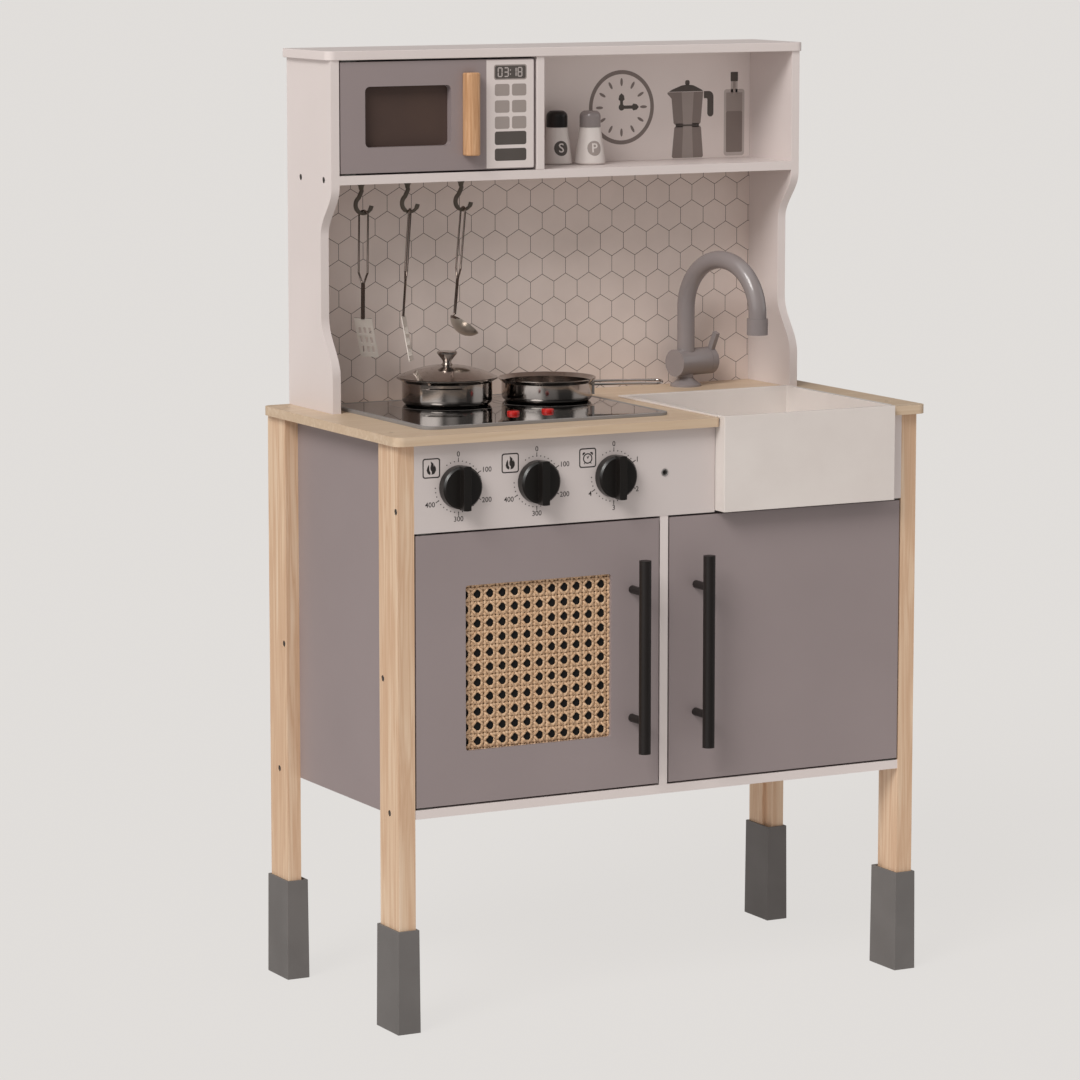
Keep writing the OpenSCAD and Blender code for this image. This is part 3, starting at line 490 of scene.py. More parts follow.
def repeated(name, tree, values, base=None):
    """A plain mesh grown by a tree from its named inputs."""
    piece = bpy.data.objects.new(name, base or bpy.data.meshes.new(name))
    bpy.context.scene.collection.objects.link(piece)
    modifier = piece.modifiers.new("Repeat", "NODES")
    modifier.node_group = tree
    for item in tree.interface.items_tree:
        if item.in_out == "INPUT" and item.name in values:
            modifier[item.identifier] = values[item.name]
    baked(piece)
    return piece


def close_tree(tree, out, geometry, material):
    """Ends a tree: real geometry, not instances, with its material set."""
    real = add(tree, "GeometryNodeRealizeInstances", Geometry=geometry)
    done = add(tree, "GeometryNodeSetMaterial", Geometry=real.outputs[0], Material=material)
    tree.links.new(done.outputs[0], out.inputs[0])


def math_node(tree, operation, a, b=0.0):
    return add(tree, "ShaderNodeMath", {"operation": operation}, _0=a, _1=b).outputs[0]


def grid_tree(name):
    """A pattern of one piece on a grid in X and Z, with every second row moved by a shift."""
    tree, given, out = repeat_tree(name, [
        ("Pattern piece", "NodeSocketObject"), ("Columns", "NodeSocketInt"), ("Rows", "NodeSocketInt"),
        ("Pitch across", "NodeSocketFloat"), ("Pitch up", "NodeSocketFloat"),
        ("Row shift", "NodeSocketFloat"), ("Start", "NodeSocketVector"), ("Finish", "NodeSocketMaterial")])
    value = given.outputs
    total = math_node(tree, "MULTIPLY", value["Columns"], value["Rows"])
    index = add(tree, "GeometryNodeInputIndex").outputs[0]
    column = math_node(tree, "MODULO", index, value["Columns"])
    row = math_node(tree, "FLOOR", math_node(tree, "DIVIDE", index, value["Columns"]))
    shift = math_node(tree, "MULTIPLY", math_node(tree, "MODULO", row, 2.0), value["Row shift"])
    x = math_node(tree, "ADD", math_node(tree, "MULTIPLY", column, value["Pitch across"]), shift)
    z = math_node(tree, "MULTIPLY", row, value["Pitch up"])
    where = add(tree, "ShaderNodeCombineXYZ", _0=x, _2=z).outputs[0]
    at = add(tree, "ShaderNodeVectorMath", {"operation": "ADD"}, _0=where, _1=value["Start"]).outputs[0]
    line = add(tree, "GeometryNodeMeshLine", Count=total).outputs[0]
    points = add(tree, "GeometryNodeSetPosition", Geometry=line, Position=at).outputs[0]
    shown = add(tree, "GeometryNodeObjectInfo", Object=value["Pattern piece"]).outputs["Geometry"]
    spread = add(tree, "GeometryNodeInstanceOnPoints", Points=points, Instance=shown)
    close_tree(tree, out, spread.outputs[0], value["Finish"])
    return tree


def ring_tree(name):
    """Small discs along an arc that faces the front."""
    tree, given, out = repeat_tree(name, [
        ("Dot radius", "NodeSocketFloat"), ("Dot height", "NodeSocketFloat"),
        ("Ring radius", "NodeSocketFloat"), ("Count", "NodeSocketInt"), ("First angle", "NodeSocketFloat"),
        ("Last angle", "NodeSocketFloat"), ("Centre", "NodeSocketVector"), ("Finish", "NodeSocketMaterial")])
    value = given.outputs
    index = add(tree, "GeometryNodeInputIndex").outputs[0]
    share = math_node(tree, "DIVIDE", index, math_node(tree, "SUBTRACT", value["Count"], 1.0))
    sweep_angle = math_node(tree, "SUBTRACT", value["Last angle"], value["First angle"])
    angle = math_node(tree, "ADD", value["First angle"], math_node(tree, "MULTIPLY", share, sweep_angle))
    x = math_node(tree, "MULTIPLY", math_node(tree, "COSINE", angle), value["Ring radius"])
    z = math_node(tree, "MULTIPLY", math_node(tree, "SINE", angle), value["Ring radius"])
    where = add(tree, "ShaderNodeCombineXYZ", _0=x, _2=z).outputs[0]
    at = add(tree, "ShaderNodeVectorMath", {"operation": "ADD"}, _0=where, _1=value["Centre"]).outputs[0]
    line = add(tree, "GeometryNodeMeshLine", Count=value["Count"]).outputs[0]
    points = add(tree, "GeometryNodeSetPosition", Geometry=line, Position=at).outputs[0]
    disc = add(tree, "GeometryNodeMeshCylinder", Vertices=10, Radius=value["Dot radius"],
               Depth=value["Dot height"])
    upright_disc = add(tree, "GeometryNodeTransform", Geometry=disc.outputs[0],
                       Rotation=(math.pi / 2, 0, 0)).outputs[0]
    spread = add(tree, "GeometryNodeInstanceOnPoints", Points=points, Instance=upright_disc)
    close_tree(tree, out, spread.outputs[0], value["Finish"])
    return tree


def stamp_tree(name):
    """A piece on each point of the base, turned by the point's own "turn"."""
    tree, given, out = repeat_tree(name, [
        ("Stamped piece", "NodeSocketObject"), ("Finish", "NodeSocketMaterial")])
    shown = add(tree, "GeometryNodeObjectInfo", Object=given.outputs["Stamped piece"]).outputs["Geometry"]
    turn = add(tree, "GeometryNodeInputNamedAttribute", {"data_type": "FLOAT_VECTOR"},
               Name="turn").outputs[0]
    spread = add(tree, "GeometryNodeInstanceOnPoints", Points=given.outputs["Geometry"], Instance=shown,
                 Rotation=turn)
    close_tree(tree, out, spread.outputs[0], given.outputs["Finish"])
    return tree


def pattern_object(shape):
    """A loose mesh that a tree repeats; it is removed once the tree has run."""
    mesh = bpy.data.meshes.new("pattern")
    mesh.from_pydata([tuple(Vector(p) * MM) for p in shape.points], [], shape.faces)
    bm = bmesh.new()
    bm.from_mesh(mesh)
    bmesh.ops.recalc_face_normals(bm, faces=bm.faces)
    bm.to_mesh(mesh)
    bm.free()
    piece = bpy.data.objects.new("pattern", mesh)
    bpy.context.scene.collection.objects.link(piece)
    return piece


def trimmed(piece, low, high):
    """Cuts a piece back to a box in X and Z, in millimetres, and closes the cuts."""
    bm = bmesh.new()
    bm.from_mesh(piece.data)
    for axis, limit, outward in [(0, low[0], -1), (0, high[0], 1), (2, low[2], -1), (2, high[2], 1)]:
        at, normal = Vector(), Vector()
        at[axis], normal[axis] = limit * MM, outward
        cut = bmesh.ops.bisect_plane(bm, geom=bm.verts[:] + bm.edges[:] + bm.faces[:], plane_co=at,
                                     plane_no=normal, clear_outer=True)
        rim = [e for e in cut["geom_cut"] if isinstance(e, bmesh.types.BMEdge) and e.is_boundary]
        bmesh.ops.edgenet_fill(bm, edges=rim, mat_nr=0)
    bmesh.ops.recalc_face_normals(bm, faces=bm.faces)
    bm.to_mesh(piece.data)
    bm.free()


# FLAT PRINTS AND SMALL PARTS

INK = 0.06  # thickness of a printed layer, in millimetres
CAP_HEIGHT = 0.7  # a capital's height as a share of the type size
CLOCK_CENTRE, COFFEE_POT_FOOT, BOTTLE_FOOT = (105.0, 874.0), (183.5, 819.6), (240.0, 820.5)


def letters(text, height, thick=INK, bold=0.01):
    """Generic digits or marks as closed solids, centred on the origin."""
    curve = bpy.data.curves.new("letters", "FONT")
    curve.body, curve.size, curve.extrude = text, height * MM / CAP_HEIGHT, thick * MM / 2
    curve.align_x, curve.align_y, curve.resolution_u = "CENTER", "CENTER", 3
    curve.offset = height * MM * bold
    piece = bpy.data.objects.new("letters", curve)
    bpy.context.scene.collection.objects.link(piece)
    mesh = bpy.data.meshes.new_from_object(piece.evaluated_get(bpy.context.evaluated_depsgraph_get()))
    points = [v.co / MM + Vector((0, 0, thick / 2)) for v in mesh.vertices]
    faces = [list(p.vertices) for p in mesh.polygons]
    bpy.data.objects.remove(piece)
    return points, faces


def ring(radius, width, steps=48):
    """The outline and the hole of a flat ring."""
    return arc(0, 0, radius, 0, 360, steps)[:-1], arc(0, 0, radius - width, 0, 360, steps)[:-1]


def bar(length, width):
    return [(-width / 2, 0), (width / 2, 0), (width / 2, length), (-width / 2, length)]


def polar(radius, degrees):
    return radius * math.cos(math.radians(degrees)), radius * math.sin(math.radians(degrees))


def at(place, x, z, degrees=0.0, lift=0.0):
    """A spot on a flat print, turned anticlockwise."""
    return place @ Matrix.Translation((x, z, lift)) @ Matrix.Rotation(math.radians(degrees), 4, "Z")


def wall_radius(node, centre, height):
    """The radius of an upright round wall at a height, from the rings of points above and below it."""
    points = [v.co / MM for v in NODES[node].data.vertices]
    rings = {(round(p.z, 2), round((p - centre).xy.length, 2)) for p in points}
    rings = [(z, max(r for q, r in rings if q == z)) for z in sorted({z for z, r in rings})]
    for (z0, r0), (z1, r1) in zip(rings, rings[1:]):
        if z0 <= height <= z1 and z1 > z0:
            return r0 + (r1 - r0) * (height - z0) / (z1 - z0)
    return rings[0][1]


def wrapped_on(shape, node, centre, facing):
    """Bends a flat print in X and Y round a node's wall; its thickness points outwards."""
    bent = []
    for x, y, z in shape.points:
        radius = wall_radius(node, centre, centre.z + y)
        angle = math.radians(facing) + x / radius
        reach = radius + INK / 2 + z
        bent.append(centre + Vector((reach * math.cos(angle), reach * math.sin(angle), y)))
    shape.points = bent


def badge_shape(initial):
    """A round badge with one initial, cut into narrow strips so that it can bend."""
    mark = Shape()
    radius, strips, initial_height = 7.6, 14, 9.2
    for i in range(strips):
        x0, x1 = (radius * (2 * k / strips - 1) for k in (i, i + 1))
        top = [(x, math.sqrt(max(0.0, radius ** 2 - x * x))) for x in (x0, (x0 + x1) / 2, x1)]
        outline = top[::-1] + [(x, -y) for x, y in top if y > 1e-3]
        mark.slab([p for k, p in enumerate(outline) if p not in outline[:k]], 0, INK)
    return mark.join(*letters(initial, initial_height, INK * 5), 1, Matrix.Translation((0, 0, INK)))


def solids(node):
    """The box of each separate solid of a CAD node, in millimetres."""
    bm = bmesh.new()
    bm.from_mesh(NODES[node].data)
    bmesh.ops.remove_doubles(bm, verts=bm.verts, dist=2e-6)
    seen, boxes = set(), []
    for start in bm.verts:
        if start in seen:
            continue
        group, stack = [], [start]
        seen.add(start)
        while stack:
            vert = stack.pop()
            group.append(vert.co / MM)
            for edge in vert.link_edges:
                other = edge.other_vert(vert)
                if other not in seen:
                    seen.add(other)
                    stack.append(other)
        boxes.append((Vector(map(min, *group)), Vector(map(max, *group))))
    bm.free()
    return boxes


# THE PIECES

def build_boards(sizes):
    ease = sizes.edge_ease / MM
    for node in ("side_panel_left", "side_panel_right", "cupboard_door", "oven_door", "microwave_door"):
        copy_of(node, "grey paint", ease)
    # The control panel takes the darkened white: painted shade
    copy_of("control_panel", "panel white", ease)
    for node in ("base_panel", "centre_divider", "sink_filler_strip", "upper_side_left",
                 "upper_side_right", "top_board", "shelf", "upper_divider"):
        copy_of(node, "white paint", ease)
    for node in ("cabinet_back_panel", "upper_back_panel"):
        copy_of(node, "back print white", 0.3, 2)
    copy_of("cane_retainer", "grey paint", 0.4, 2)
    copy_of("backsplash", "joint print", 0.3, 2)


def build_legs(sizes):
    for side in ("front_left", "front_right", "back_left", "back_right"):
        copy_of(f"leg_{side}", "pine", sizes.edge_ease / MM * 1.6, 4)
        copy_of(f"foot_sleeve_{side}", "sleeve plastic", 0.5, 2)


def build_counter(sizes):
    copy_of("countertop", "counter foil", sizes.edge_ease / MM)
    copy_of("hob_tray", "hob rim plastic", 0.35, 3)
    copy_of("hob_glass", "hob acrylic", 0.15, 2)
    copy_of("hob_housing", "sink plastic")
    for side in ("left", "right"):
        copy_of(f"hob_button_{side}", "red plastic")
    top = corners("hob_glass")[1].z
    shape = Shape()
    for node in ("pot", "pan"):
        foot = burner(node)
        for radius, width in ((58, 0.9), (40, 0.5)):
            outline, hole = ring(radius, width, 96)
            shape.printed(outline, Matrix.Translation((foot.x, foot.y, top)), holes=[hole])
    finished("burner_rings", shape, ["hob print"], "frame")


def burner(node):
    """The middle of a vessel's foot on the hob."""
    bottom = corners(node)[0].z
    low = [v.co / MM for v in NODES[node].data.vertices if v.co.z / MM < bottom + 0.5]
    return sum(low, Vector()) / len(low)


def build_sink(sizes):
    copy_of("sink", "sink plastic", 0.6, 3)
    for node in ("faucet_flange", "faucet_body", "faucet_spout", "faucet_outlet", "faucet_lever"):
        copy_of(node, "faucet plastic")


def build_doors(sizes):
    for node in ("oven_handle", "cupboard_handle"):
        copy_of(node, "black powder coat")
    build_cane(sizes)
    NODES["door_hinges"].data.materials[0] = FINISH["zinc"]


def build_cane(sizes):
    """Hand-woven webbing: doubled upright and level strands with single diagonals, over and under."""
    low, high = corners("cane_panel")
    across = sizes.cane_pitch / MM
    up = across * 1.06
    strand, diagonal, flat, sides = 1.5, 1.3, 0.35, 6
    half_x, half_z = across / 2, up / 2
    gap_x, gap_z = half_x - 1.78, half_z - 1.78
    cell = Shape()
    for side in (-1, 1):
        lift = [(t, 0.5 * side * math.cos(TAU * t)) for t in (0, 0.17, 0.33, 0.5, 0.67, 0.83, 1)]
        cell.tube([(side * gap_x, y, (t - 0.5) * up) for t, y in lift], strand, 0, sides, flat=flat)
        cell.tube([((t - 0.5) * across, -y, side * gap_z) for t, y in lift], strand, 0, sides, flat=flat)
        for turn in (-1, 1):
            ends = [(side * half_x, -0.5 * turn, 0), (side * half_x / 2, -1.15, turn * half_z / 2),
                    (0, 0.3 * turn, turn * half_z)]
            cell.tube(ends, diagonal, 0, sides, flat=flat)
    pattern = pattern_object(cell)
    columns, rows = math.ceil((high.x - low.x) / across) + 2, math.ceil((high.z - low.z) / up) + 2
    start = (low.x + sizes.cane_first_x / MM, (low.y + high.y) / 2, low.z + sizes.cane_first_z / MM)
    piece = repeated("cane_weave", grid_tree("Cane weave"), {
        "Pattern piece": pattern, "Columns": columns, "Rows": rows, "Pitch across": across * MM,
        "Pitch up": up * MM, "Row shift": 0.0, "Start": [v * MM for v in start], "Finish": FINISH["rattan"]})
    bpy.data.objects.remove(pattern)
    trimmed(piece, low, high)
    piece.data.shade_smooth()
    placed(piece, "oven_door", ["cane_panel"])
    # A near-black sheet just behind the cane: painted shade for the dark inside of the oven seen through the
    # holes
    inset, shade_sheet_thickness = 0.5, 0.4
    outline = soft_box(low.x + inset, low.z + inset, high.x - inset, high.z - inset, 1)
    back = Shape().slab(outline, 0, shade_sheet_thickness, 0, upright(high.y + inset))
    finished("cane_backing", back, ["black cloth"], "oven_door")


def build_controls(sizes):
    """Three knobs, their printed dials and icons, and the screw between the doors."""
    front = corners("control_panel")[0].y
    marks = Shape()
    flat = upright(front)
    spots = {90: (0, 31.4), 30: (30.5, 14.8), -30: (30.5, -14.6), -90: (0, -31.4), -150: (-30.5, -16)}
    digits, tick, ring_radius = 5.0, (4.2, 0.75), 24.0
    heat, hours = ("0", "100", "200", "300", "400"), ("0", "1", "2", "3", "4")
    for name, numbers in (("left", heat), ("middle", heat), ("right", hours)):
        node = f"knob_{name}"
        copy_of(node, "black plastic", 0.8, 3)
        hub = middle(node)
        for (angle, (x, z)), number in zip(spots.items(), numbers):
            tick_x, tick_z = polar(ring_radius, angle)
            marks.printed(bar(*tick), at(flat, hub.x + tick_x, hub.z + tick_z, angle - 90))
            if len(number) == 1 and angle not in (90, -90):
                x *= 0.86
            marks.join(*letters(number, digits), 0, at(flat, hub.x + x, hub.z + z))
        place = at(flat, hub.x - 29, hub.z + 19.5)
        marks.printed(soft_box(-9.4, -9.6, 9.4, 9.6, 2.6), place, holes=[soft_box(-8.2, -8.4, 8.2, 8.4, 1.7)])
        if name == "right":
            alarm_clock(marks, place)
        else:
            flame(marks, place)
        dots = repeated(f"dial_dots_{name}", ring_tree(f"Dial dots {name}"), {
            "Dot radius": 0.62 * MM, "Dot height": INK * MM, "Ring radius": (ring_radius + 0.8) * MM,
            "Count": 31, "First angle": math.radians(120), "Last angle": math.radians(-180),
            "Centre": [hub.x * MM, (front - INK / 2) * MM, hub.z * MM], "Finish": FINISH["ink"]})
        placed(dots, "frame")
    finished("dial_marks", marks, ["ink"], "frame")
    build_screws()


def flame(marks, place):
    """Two tongues of flame, the right one taller, with a narrow gap between them."""
    right = [(2.3, 4.4), (2.9, 1.2), (3.4, 3.2), (4.8, 0.4), (5.0, -2.4), (3.2, -5.4), (0.2, -6.2),
             (0.6, -3.4), (-0.8, -1.6), (-1.0, 0.8), (-0.2, 3.4), (-0.6, 6.8)]
    left = [(-4.2, 1.0), (-5.0, -2.0), (-3.8, -5.0), (-1.2, -6.4), (-0.8, -4.2), (-2.0, -2.2), (-2.2, 0.6),
            (-2.6, 3.6)]
    for outline in (right, left):
        marks.printed(outline, place)


def alarm_clock(marks, place):
    """A round clock with two hands, two bells and two feet."""
    face, stroke = at(place, 0, -0.6), 0.8
    outline, hole = ring(5.2, 1.2, 32)
    marks.printed(outline, face, holes=[hole])
    marks.printed(bar(3.0, stroke), at(face, 0, 0, -30))
    marks.printed(bar(2.2, stroke), at(face, 0, 0, 20))
    for side in (-1, 1):
        marks.printed(arc(0, 0, 1.9, 0, 180, 10), at(place, side * 3.9, 3.7, side * -42))
        marks.printed(bar(1.8, stroke), at(place, side * 3.0, -4.4, side * -145))


def build_screws():
    """Socket-head bolts: a bright rim round a dark hexagonal recess, one on each solid of the screw set."""
    boxes = solids("screws")
    size = boxes[0][1] - boxes[0][0]
    radius = sorted(size)[1] / 2
    sunk, proud, floor = 0.4, 0.35, 0.15
    rim = arc(0, 0, radius, 0, 360, 40)[:-1]
    recess = [polar(radius * 0.56, 60 * i) for i in range(6)]
    head = Shape().slab(rim, -sunk, proud, holes=[recess])
    disc = radius * 0.7
    head.turn([(0, -sunk), (disc, -sunk), (disc, floor - sunk), (0, floor - sunk)], steps=24)
    pattern = pattern_object(head)
    base = bpy.data.meshes.new("screw_set")
    spots, turns = [], []
    for low, high in boxes:
        extent, centre = high - low, (low + high) / 2
        axis = min(range(3), key=lambda i: extent[i])
        outward = [0, 0, 0]
        outward[axis] = -1 if axis == 1 or centre[axis] < 0 else 1
        spot = centre.copy()
        spot[axis] = (low if outward[axis] < 0 else high)[axis] - proud * outward[axis]
        spots.append(spot * MM)
        turns.append(Vector(outward).to_track_quat("Z", "Y").to_euler())
    base.from_pydata([tuple(s) for s in spots], [], [])
    turn = base.attributes.new("turn", "FLOAT_VECTOR", "POINT")
    turn.data.foreach_set("vector", [v for t in turns for v in t])
    piece = repeated("screw_heads", stamp_tree("Screw heads"),
                     {"Stamped piece": pattern, "Finish": FINISH["zinc"]}, base)
    bpy.data.objects.remove(pattern)
    placed(piece, "frame")
    NODES["screws"].data.materials[0] = FINISH["zinc"]
    panel_screw(boxes)


def panel_screw(boxes):
    """The collar of the one screw in the control panel's front, and a black disc on its head: painted shade
    for the dark socket recess.
    """
    panel_low, panel_high = corners("control_panel")
    low, high = next(box for box in boxes if abs((box[0] + box[1]).x) < 1 and box[0].y < panel_high.y)
    x, z = (low.x + high.x) / 2, (low.z + high.z) / 2
    facing = Matrix.Rotation(math.pi / 2, 4, "X")
    flange = rounded([(2.7, 0.05), (2.9, 0.75), (3.7, 0.75), (4.0, 0.05), (2.7, 0.05)], 0.2)
    collar = Shape().turn(flange, 0, Matrix.Translation((x, panel_low.y, z)) @ facing, 40)
    # A flat black disc in front of the head: painted shade where the socket recess is
    socket = [(0, 0.05), (1.7, 0.05), (1.7, 0.2), (0, 0.2)]
    collar.turn(socket, 1, Matrix.Translation((x, low.y - 0.02, z)) @ facing, 6)
    finished("panel_screw_collar", collar, ["hob rim plastic", "black plastic"], "frame")


def build_back(sizes):
    """The printed back: hexagon tiles below, a clock, a coffee pot and a bottle above."""
    front = corners("backsplash")[0].y
    wide, joint = sizes.tile_width / MM, 0.66
    tall = wide / math.cos(math.radians(30))
    row = tall * 0.75
    left, right = corners("upper_side_left")[1].x, corners("upper_side_right")[0].x
    bottom, top = corners("countertop")[1].z, corners("shelf")[0].z
    tile = Shape().slab([polar((tall - joint) / 2, 30 + 60 * i) for i in range(6)], 0, INK * 2, 0, upright(0))
    pattern = pattern_object(tile)
    columns, rows = math.ceil((right - left) / wide) + 3, math.ceil((top - bottom) / row) + 3
    start = left * MM - sizes.tile_start_x, front * MM, bottom * MM - sizes.tile_start_z
    piece = repeated("backsplash_tiles", grid_tree("Hexagon tiles"), {
        "Pattern piece": pattern, "Columns": columns, "Rows": rows, "Pitch across": wide * MM,
        "Pitch up": row * MM, "Row shift": wide / 2 * MM, "Start": start, "Finish": FINISH["tile print"]})
    bpy.data.objects.remove(pattern)
    trimmed(piece, (left, front, bottom), (right, front, top))
    placed(piece, "frame")
    build_clock(upright(corners("upper_back_panel")[0].y))


def build_clock(flat):
    """A wall clock at a quarter past twelve, printed with the coffee pot and the bottle."""
    shape = Shape()
    place = at(flat, *CLOCK_CENTRE)
    outline, hole = ring(38.4, 4.2, 96)
    shape.printed(outline, place, 1, holes=[hole])
    mark = [(1.5 * math.cos(a), 4.2 * math.sin(a)) for a in (TAU * i / 16 for i in range(16))]
    for degrees in range(0, 360, 30):
        x, z = polar(26, degrees)
        shape.printed(mark, at(place, x, z, degrees - 90), 1)
    for reach, degrees, thick in ((14.5, 0, INK * 2), (20.5, -90, INK)):
        half = [(1.7, -2), (1.7, reach - 8), (3.6, reach - 6.5), (2.8, reach - 2.5)]
        hand = half + [(0, reach)] + [(-x, z) for x, z in half[::-1]]
        shape.slab(hand, 0, thick, 0, at(place, 0, 0, degrees))
    shape.slab(arc(0, 0, 3.4, 0, 360, 20)[:-1], 0, INK * 3, 0, place)
    coffee_pot(shape, at(flat, *COFFEE_POT_FOOT))
    bottle(shape, at(flat, *BOTTLE_FOOT))
    finished("back_prints", shape, ["dark print", "mid print", "light print", "pale print"], "frame",
             sharp=30)


def coffee_pot(shape, place):
    """A stove-top coffee pot in flat print: faceted jug and boiler, waist, spout, lid, knob and handle."""
    boiler = [(-18.5, 1.6), (-17, 0), (17.6, 0), (19, 1.6), (16.5, 31.5), (15, 33), (-14, 33), (-15.6, 31.5)]
    jug = [(-16.5, 36.5), (-15, 34.8), (14.4, 34.8), (16, 36.5), (19, 68.6), (-23.6, 68.6), (-24, 67),
           (-19, 62)]
    waist = [(-14, 32), (14, 32), (14, 35.8), (-14, 35.8)]
    lid = [(-22.4, 69), (18.8, 69), (17.4, 70.6), (7, 75.4), (0, 76.2), (-7, 75.4), (-18.6, 71.2)]
    outer = [(19.8, 69)] + arc(25.6, 63.2, 5.8, 90, 0, 6) + [(31.4, 46)] + arc(27.7, 46, 3.7, 0, -180, 8)
    inner = [(24, 59.4)] + arc(22.6, 60.2, 1.4, 0, 90, 4) + [(19.8, 61.6)]
    facets = [(-6.4, 0), (7, 0), (5.6, 33), (-5, 33)], [(-5, 34.8), (5.6, 34.8), (7.6, 68.6), (-7, 68.6)]
    for outline in (boiler, jug):
        shape.printed(outline, place, 1)
    for outline in (waist, lid, soft_box(-2.8, 75.6, 2.6, 80.8, 1.9), outer + inner):
        shape.printed(outline, place)
    for outline in facets:
        shape.printed(outline, place, 2, 1)


def bottle(shape, place):
    """A glass bottle two thirds full: pale glass, darker oil, a stopper."""
    glass, neck = soft_box(-12.4, 0, 12.4, 69.5, 3.2), soft_box(-4, 66, 4, 79, 0.6)
    bore, oil = soft_box(-1.6, 66, 1.6, 78, 0.4), soft_box(-9.8, 3.6, 9.8, 46.5, 1.4)
    air = [(-9.8, 46.5), (9.8, 46.5), (9.8, 66), (-9.8, 66)]
    for outline, shade, layer in ((glass, 3, 0), (neck, 3, 0), (bore, 2, 1), (oil, 1, 1), (air, 2, 1)):
        shape.printed(outline, place, shade, layer)
    shape.slab(soft_box(-4.4, 77.6, 4.4, 87.4, 0.8), 0, INK * 2, 0, place)


def build_microwave(sizes):
    """The door's smoked sheet, its wooden grip and the printed control area."""
    copy_of("microwave_window", "smoked window", 0.15, 2)
    copy_of("microwave_handle", "pine grip", 1.6, 4)
    low, high = corners("microwave_door")
    place = upright(low.y)
    edge = sizes.edge_ease / MM + 0.2
    left, right, bottom, top = -96.1, high.x - edge, low.z + edge, high.z - edge
    key_columns, key_rows = ((-86.7, -70.2), (-67.4, -51.2)), ((893.4, 905.3), (876.6, 889.0), (860.5, 872.9))
    bar_rows = (844.6, 858.0), (828.6, 841.0)
    shape = Shape().printed([(left, bottom), (right, bottom), (right, top), (left, top)], place)
    shape.printed(soft_box(-87.6, 909.4, -50.8, 924.6, 2.4), place, 2, 1)
    shape.printed(soft_box(-86.4, 910.6, -52, 923.4, 1.8), place, 1, 2)
    clock_digits(shape, at(place, -69.2, 917, 0, INK * 3))
    for z0, z1 in key_rows:
        for x0, x1 in key_columns:
            shape.printed(soft_box(x0, z0, x1, z1, 2.2), place, 2, 1)
    for z0, z1 in bar_rows:
        shape.printed(soft_box(-86.8, z0, -51.2, z1, 2.4), place, 1, 1)
    finished("microwave_print", shape, ["white paint", "dark print", "light print", "pale print"],
             "microwave_door")


def clock_digits(shape, place):
    """Seven-segment digits for a timer."""
    wide, tall, thick = 4.3, 8.6, 1.1
    segments = {"a": (0, tall / 2, 90), "d": (0, -tall / 2, 90), "g": (0, 0, 90),
                "b": (wide / 2, tall / 4, 0), "c": (wide / 2, -tall / 4, 0),
                "e": (-wide / 2, -tall / 4, 0), "f": (-wide / 2, tall / 4, 0)}
    shown = {-11.6: "abcdef", -4.6: "abcdg", 4.2: "bc", 10.8: "abcdefg"}
    for centre, lit in shown.items():
        for name in lit:
            x, z, degrees = segments[name]
            reach = (wide if degrees else tall / 2) - 0.5
            spot = at(place, centre + x, z, degrees) @ Matrix.Translation((0, -reach / 2, 0))
            shape.printed(bar(reach, thick), spot, 3)
    for z in (-2, 2):
        shape.printed(soft_box(-0.6, z - 0.6, 0.6, z + 0.6, 0.3, 2), place, 3)


def build_cookware(sizes):
    for node in ("pot", "pan", "pot_lid", "pot_lid_knob"):
        copy_of(node, "polished steel")


def build_utensils(sizes):
    copy_of("wide_turner", "drawn wire", second="brushed steel", below=37)
    copy_of("slotted_turner", "drawn wire", second="brushed steel", below=42)
    copy_of("ladle", "drawn wire", second="satin steel", below=19)
    build_hooks()


def build_hooks():
    """Screw-in cup hooks: a flared collar, an S-bend and an open curl, thinner where things hang."""
    shape = Shape()
    wire, curl, steps = 1.7, 8.8, 26
    start, end, seat = 128, 352, range(235, 318)
    for low, high in solids("cup_hooks"):
        centre = Vector((low.x + wire + curl, (low.y + high.y) / 2, low.z + wire + curl))
        neck = high.z - centre.z
        path = [(-2.6, neck - 1), (-2.5, neck - 6), (-2.0, neck - 9), (-3.2, neck - 11.8)]
        path += arc(0, 0, curl, start, end, steps)
        angles = [start + (end - start) * i / steps for i in range(steps + 1)]
        radii = [2.1, 2.1, 2.2, 2.3] + [1.72 if seat.start < angle < seat.stop else 2.25 for angle in angles]
        shape.tube([centre + Vector((x, 0, z)) for x, z in path], radii, 0, 16)
        place = Matrix.Translation(centre + Vector((-2.6, 0, neck)))
        collar = [(0, -8), (2.2, -8), (2.8, -4.5), (4.9, -1.2), (4.9, -0.1), (0, -0.1)]
        shape.turn(rounded(collar, 0.5), 0, place, 32)
    finished("cup_hooks_look", shape, ["bronze"], "frame", ["cup_hooks"], sharp=40)


def build_shakers(sizes):
    badge_height, badge_facing = 17, -99
    for kind, badge in (("salt", "dark print"), ("pepper", "light print")):
        node = f"{kind}_shaker"
        copy_of(node, "shaker white", 0.4, 2)
        copy_of(f"{node}_cap", "black plastic" if kind == "salt" else "faucet plastic", 0.6, 3)
        mark = badge_shape(kind[0].upper())
        spot = middle(node)
        spot.z = corners(node)[0].z + badge_height
        wrapped_on(mark, node, spot, badge_facing)
        finished(f"{node}_badge", mark, [badge, "shaker white"], node)


# STAGE

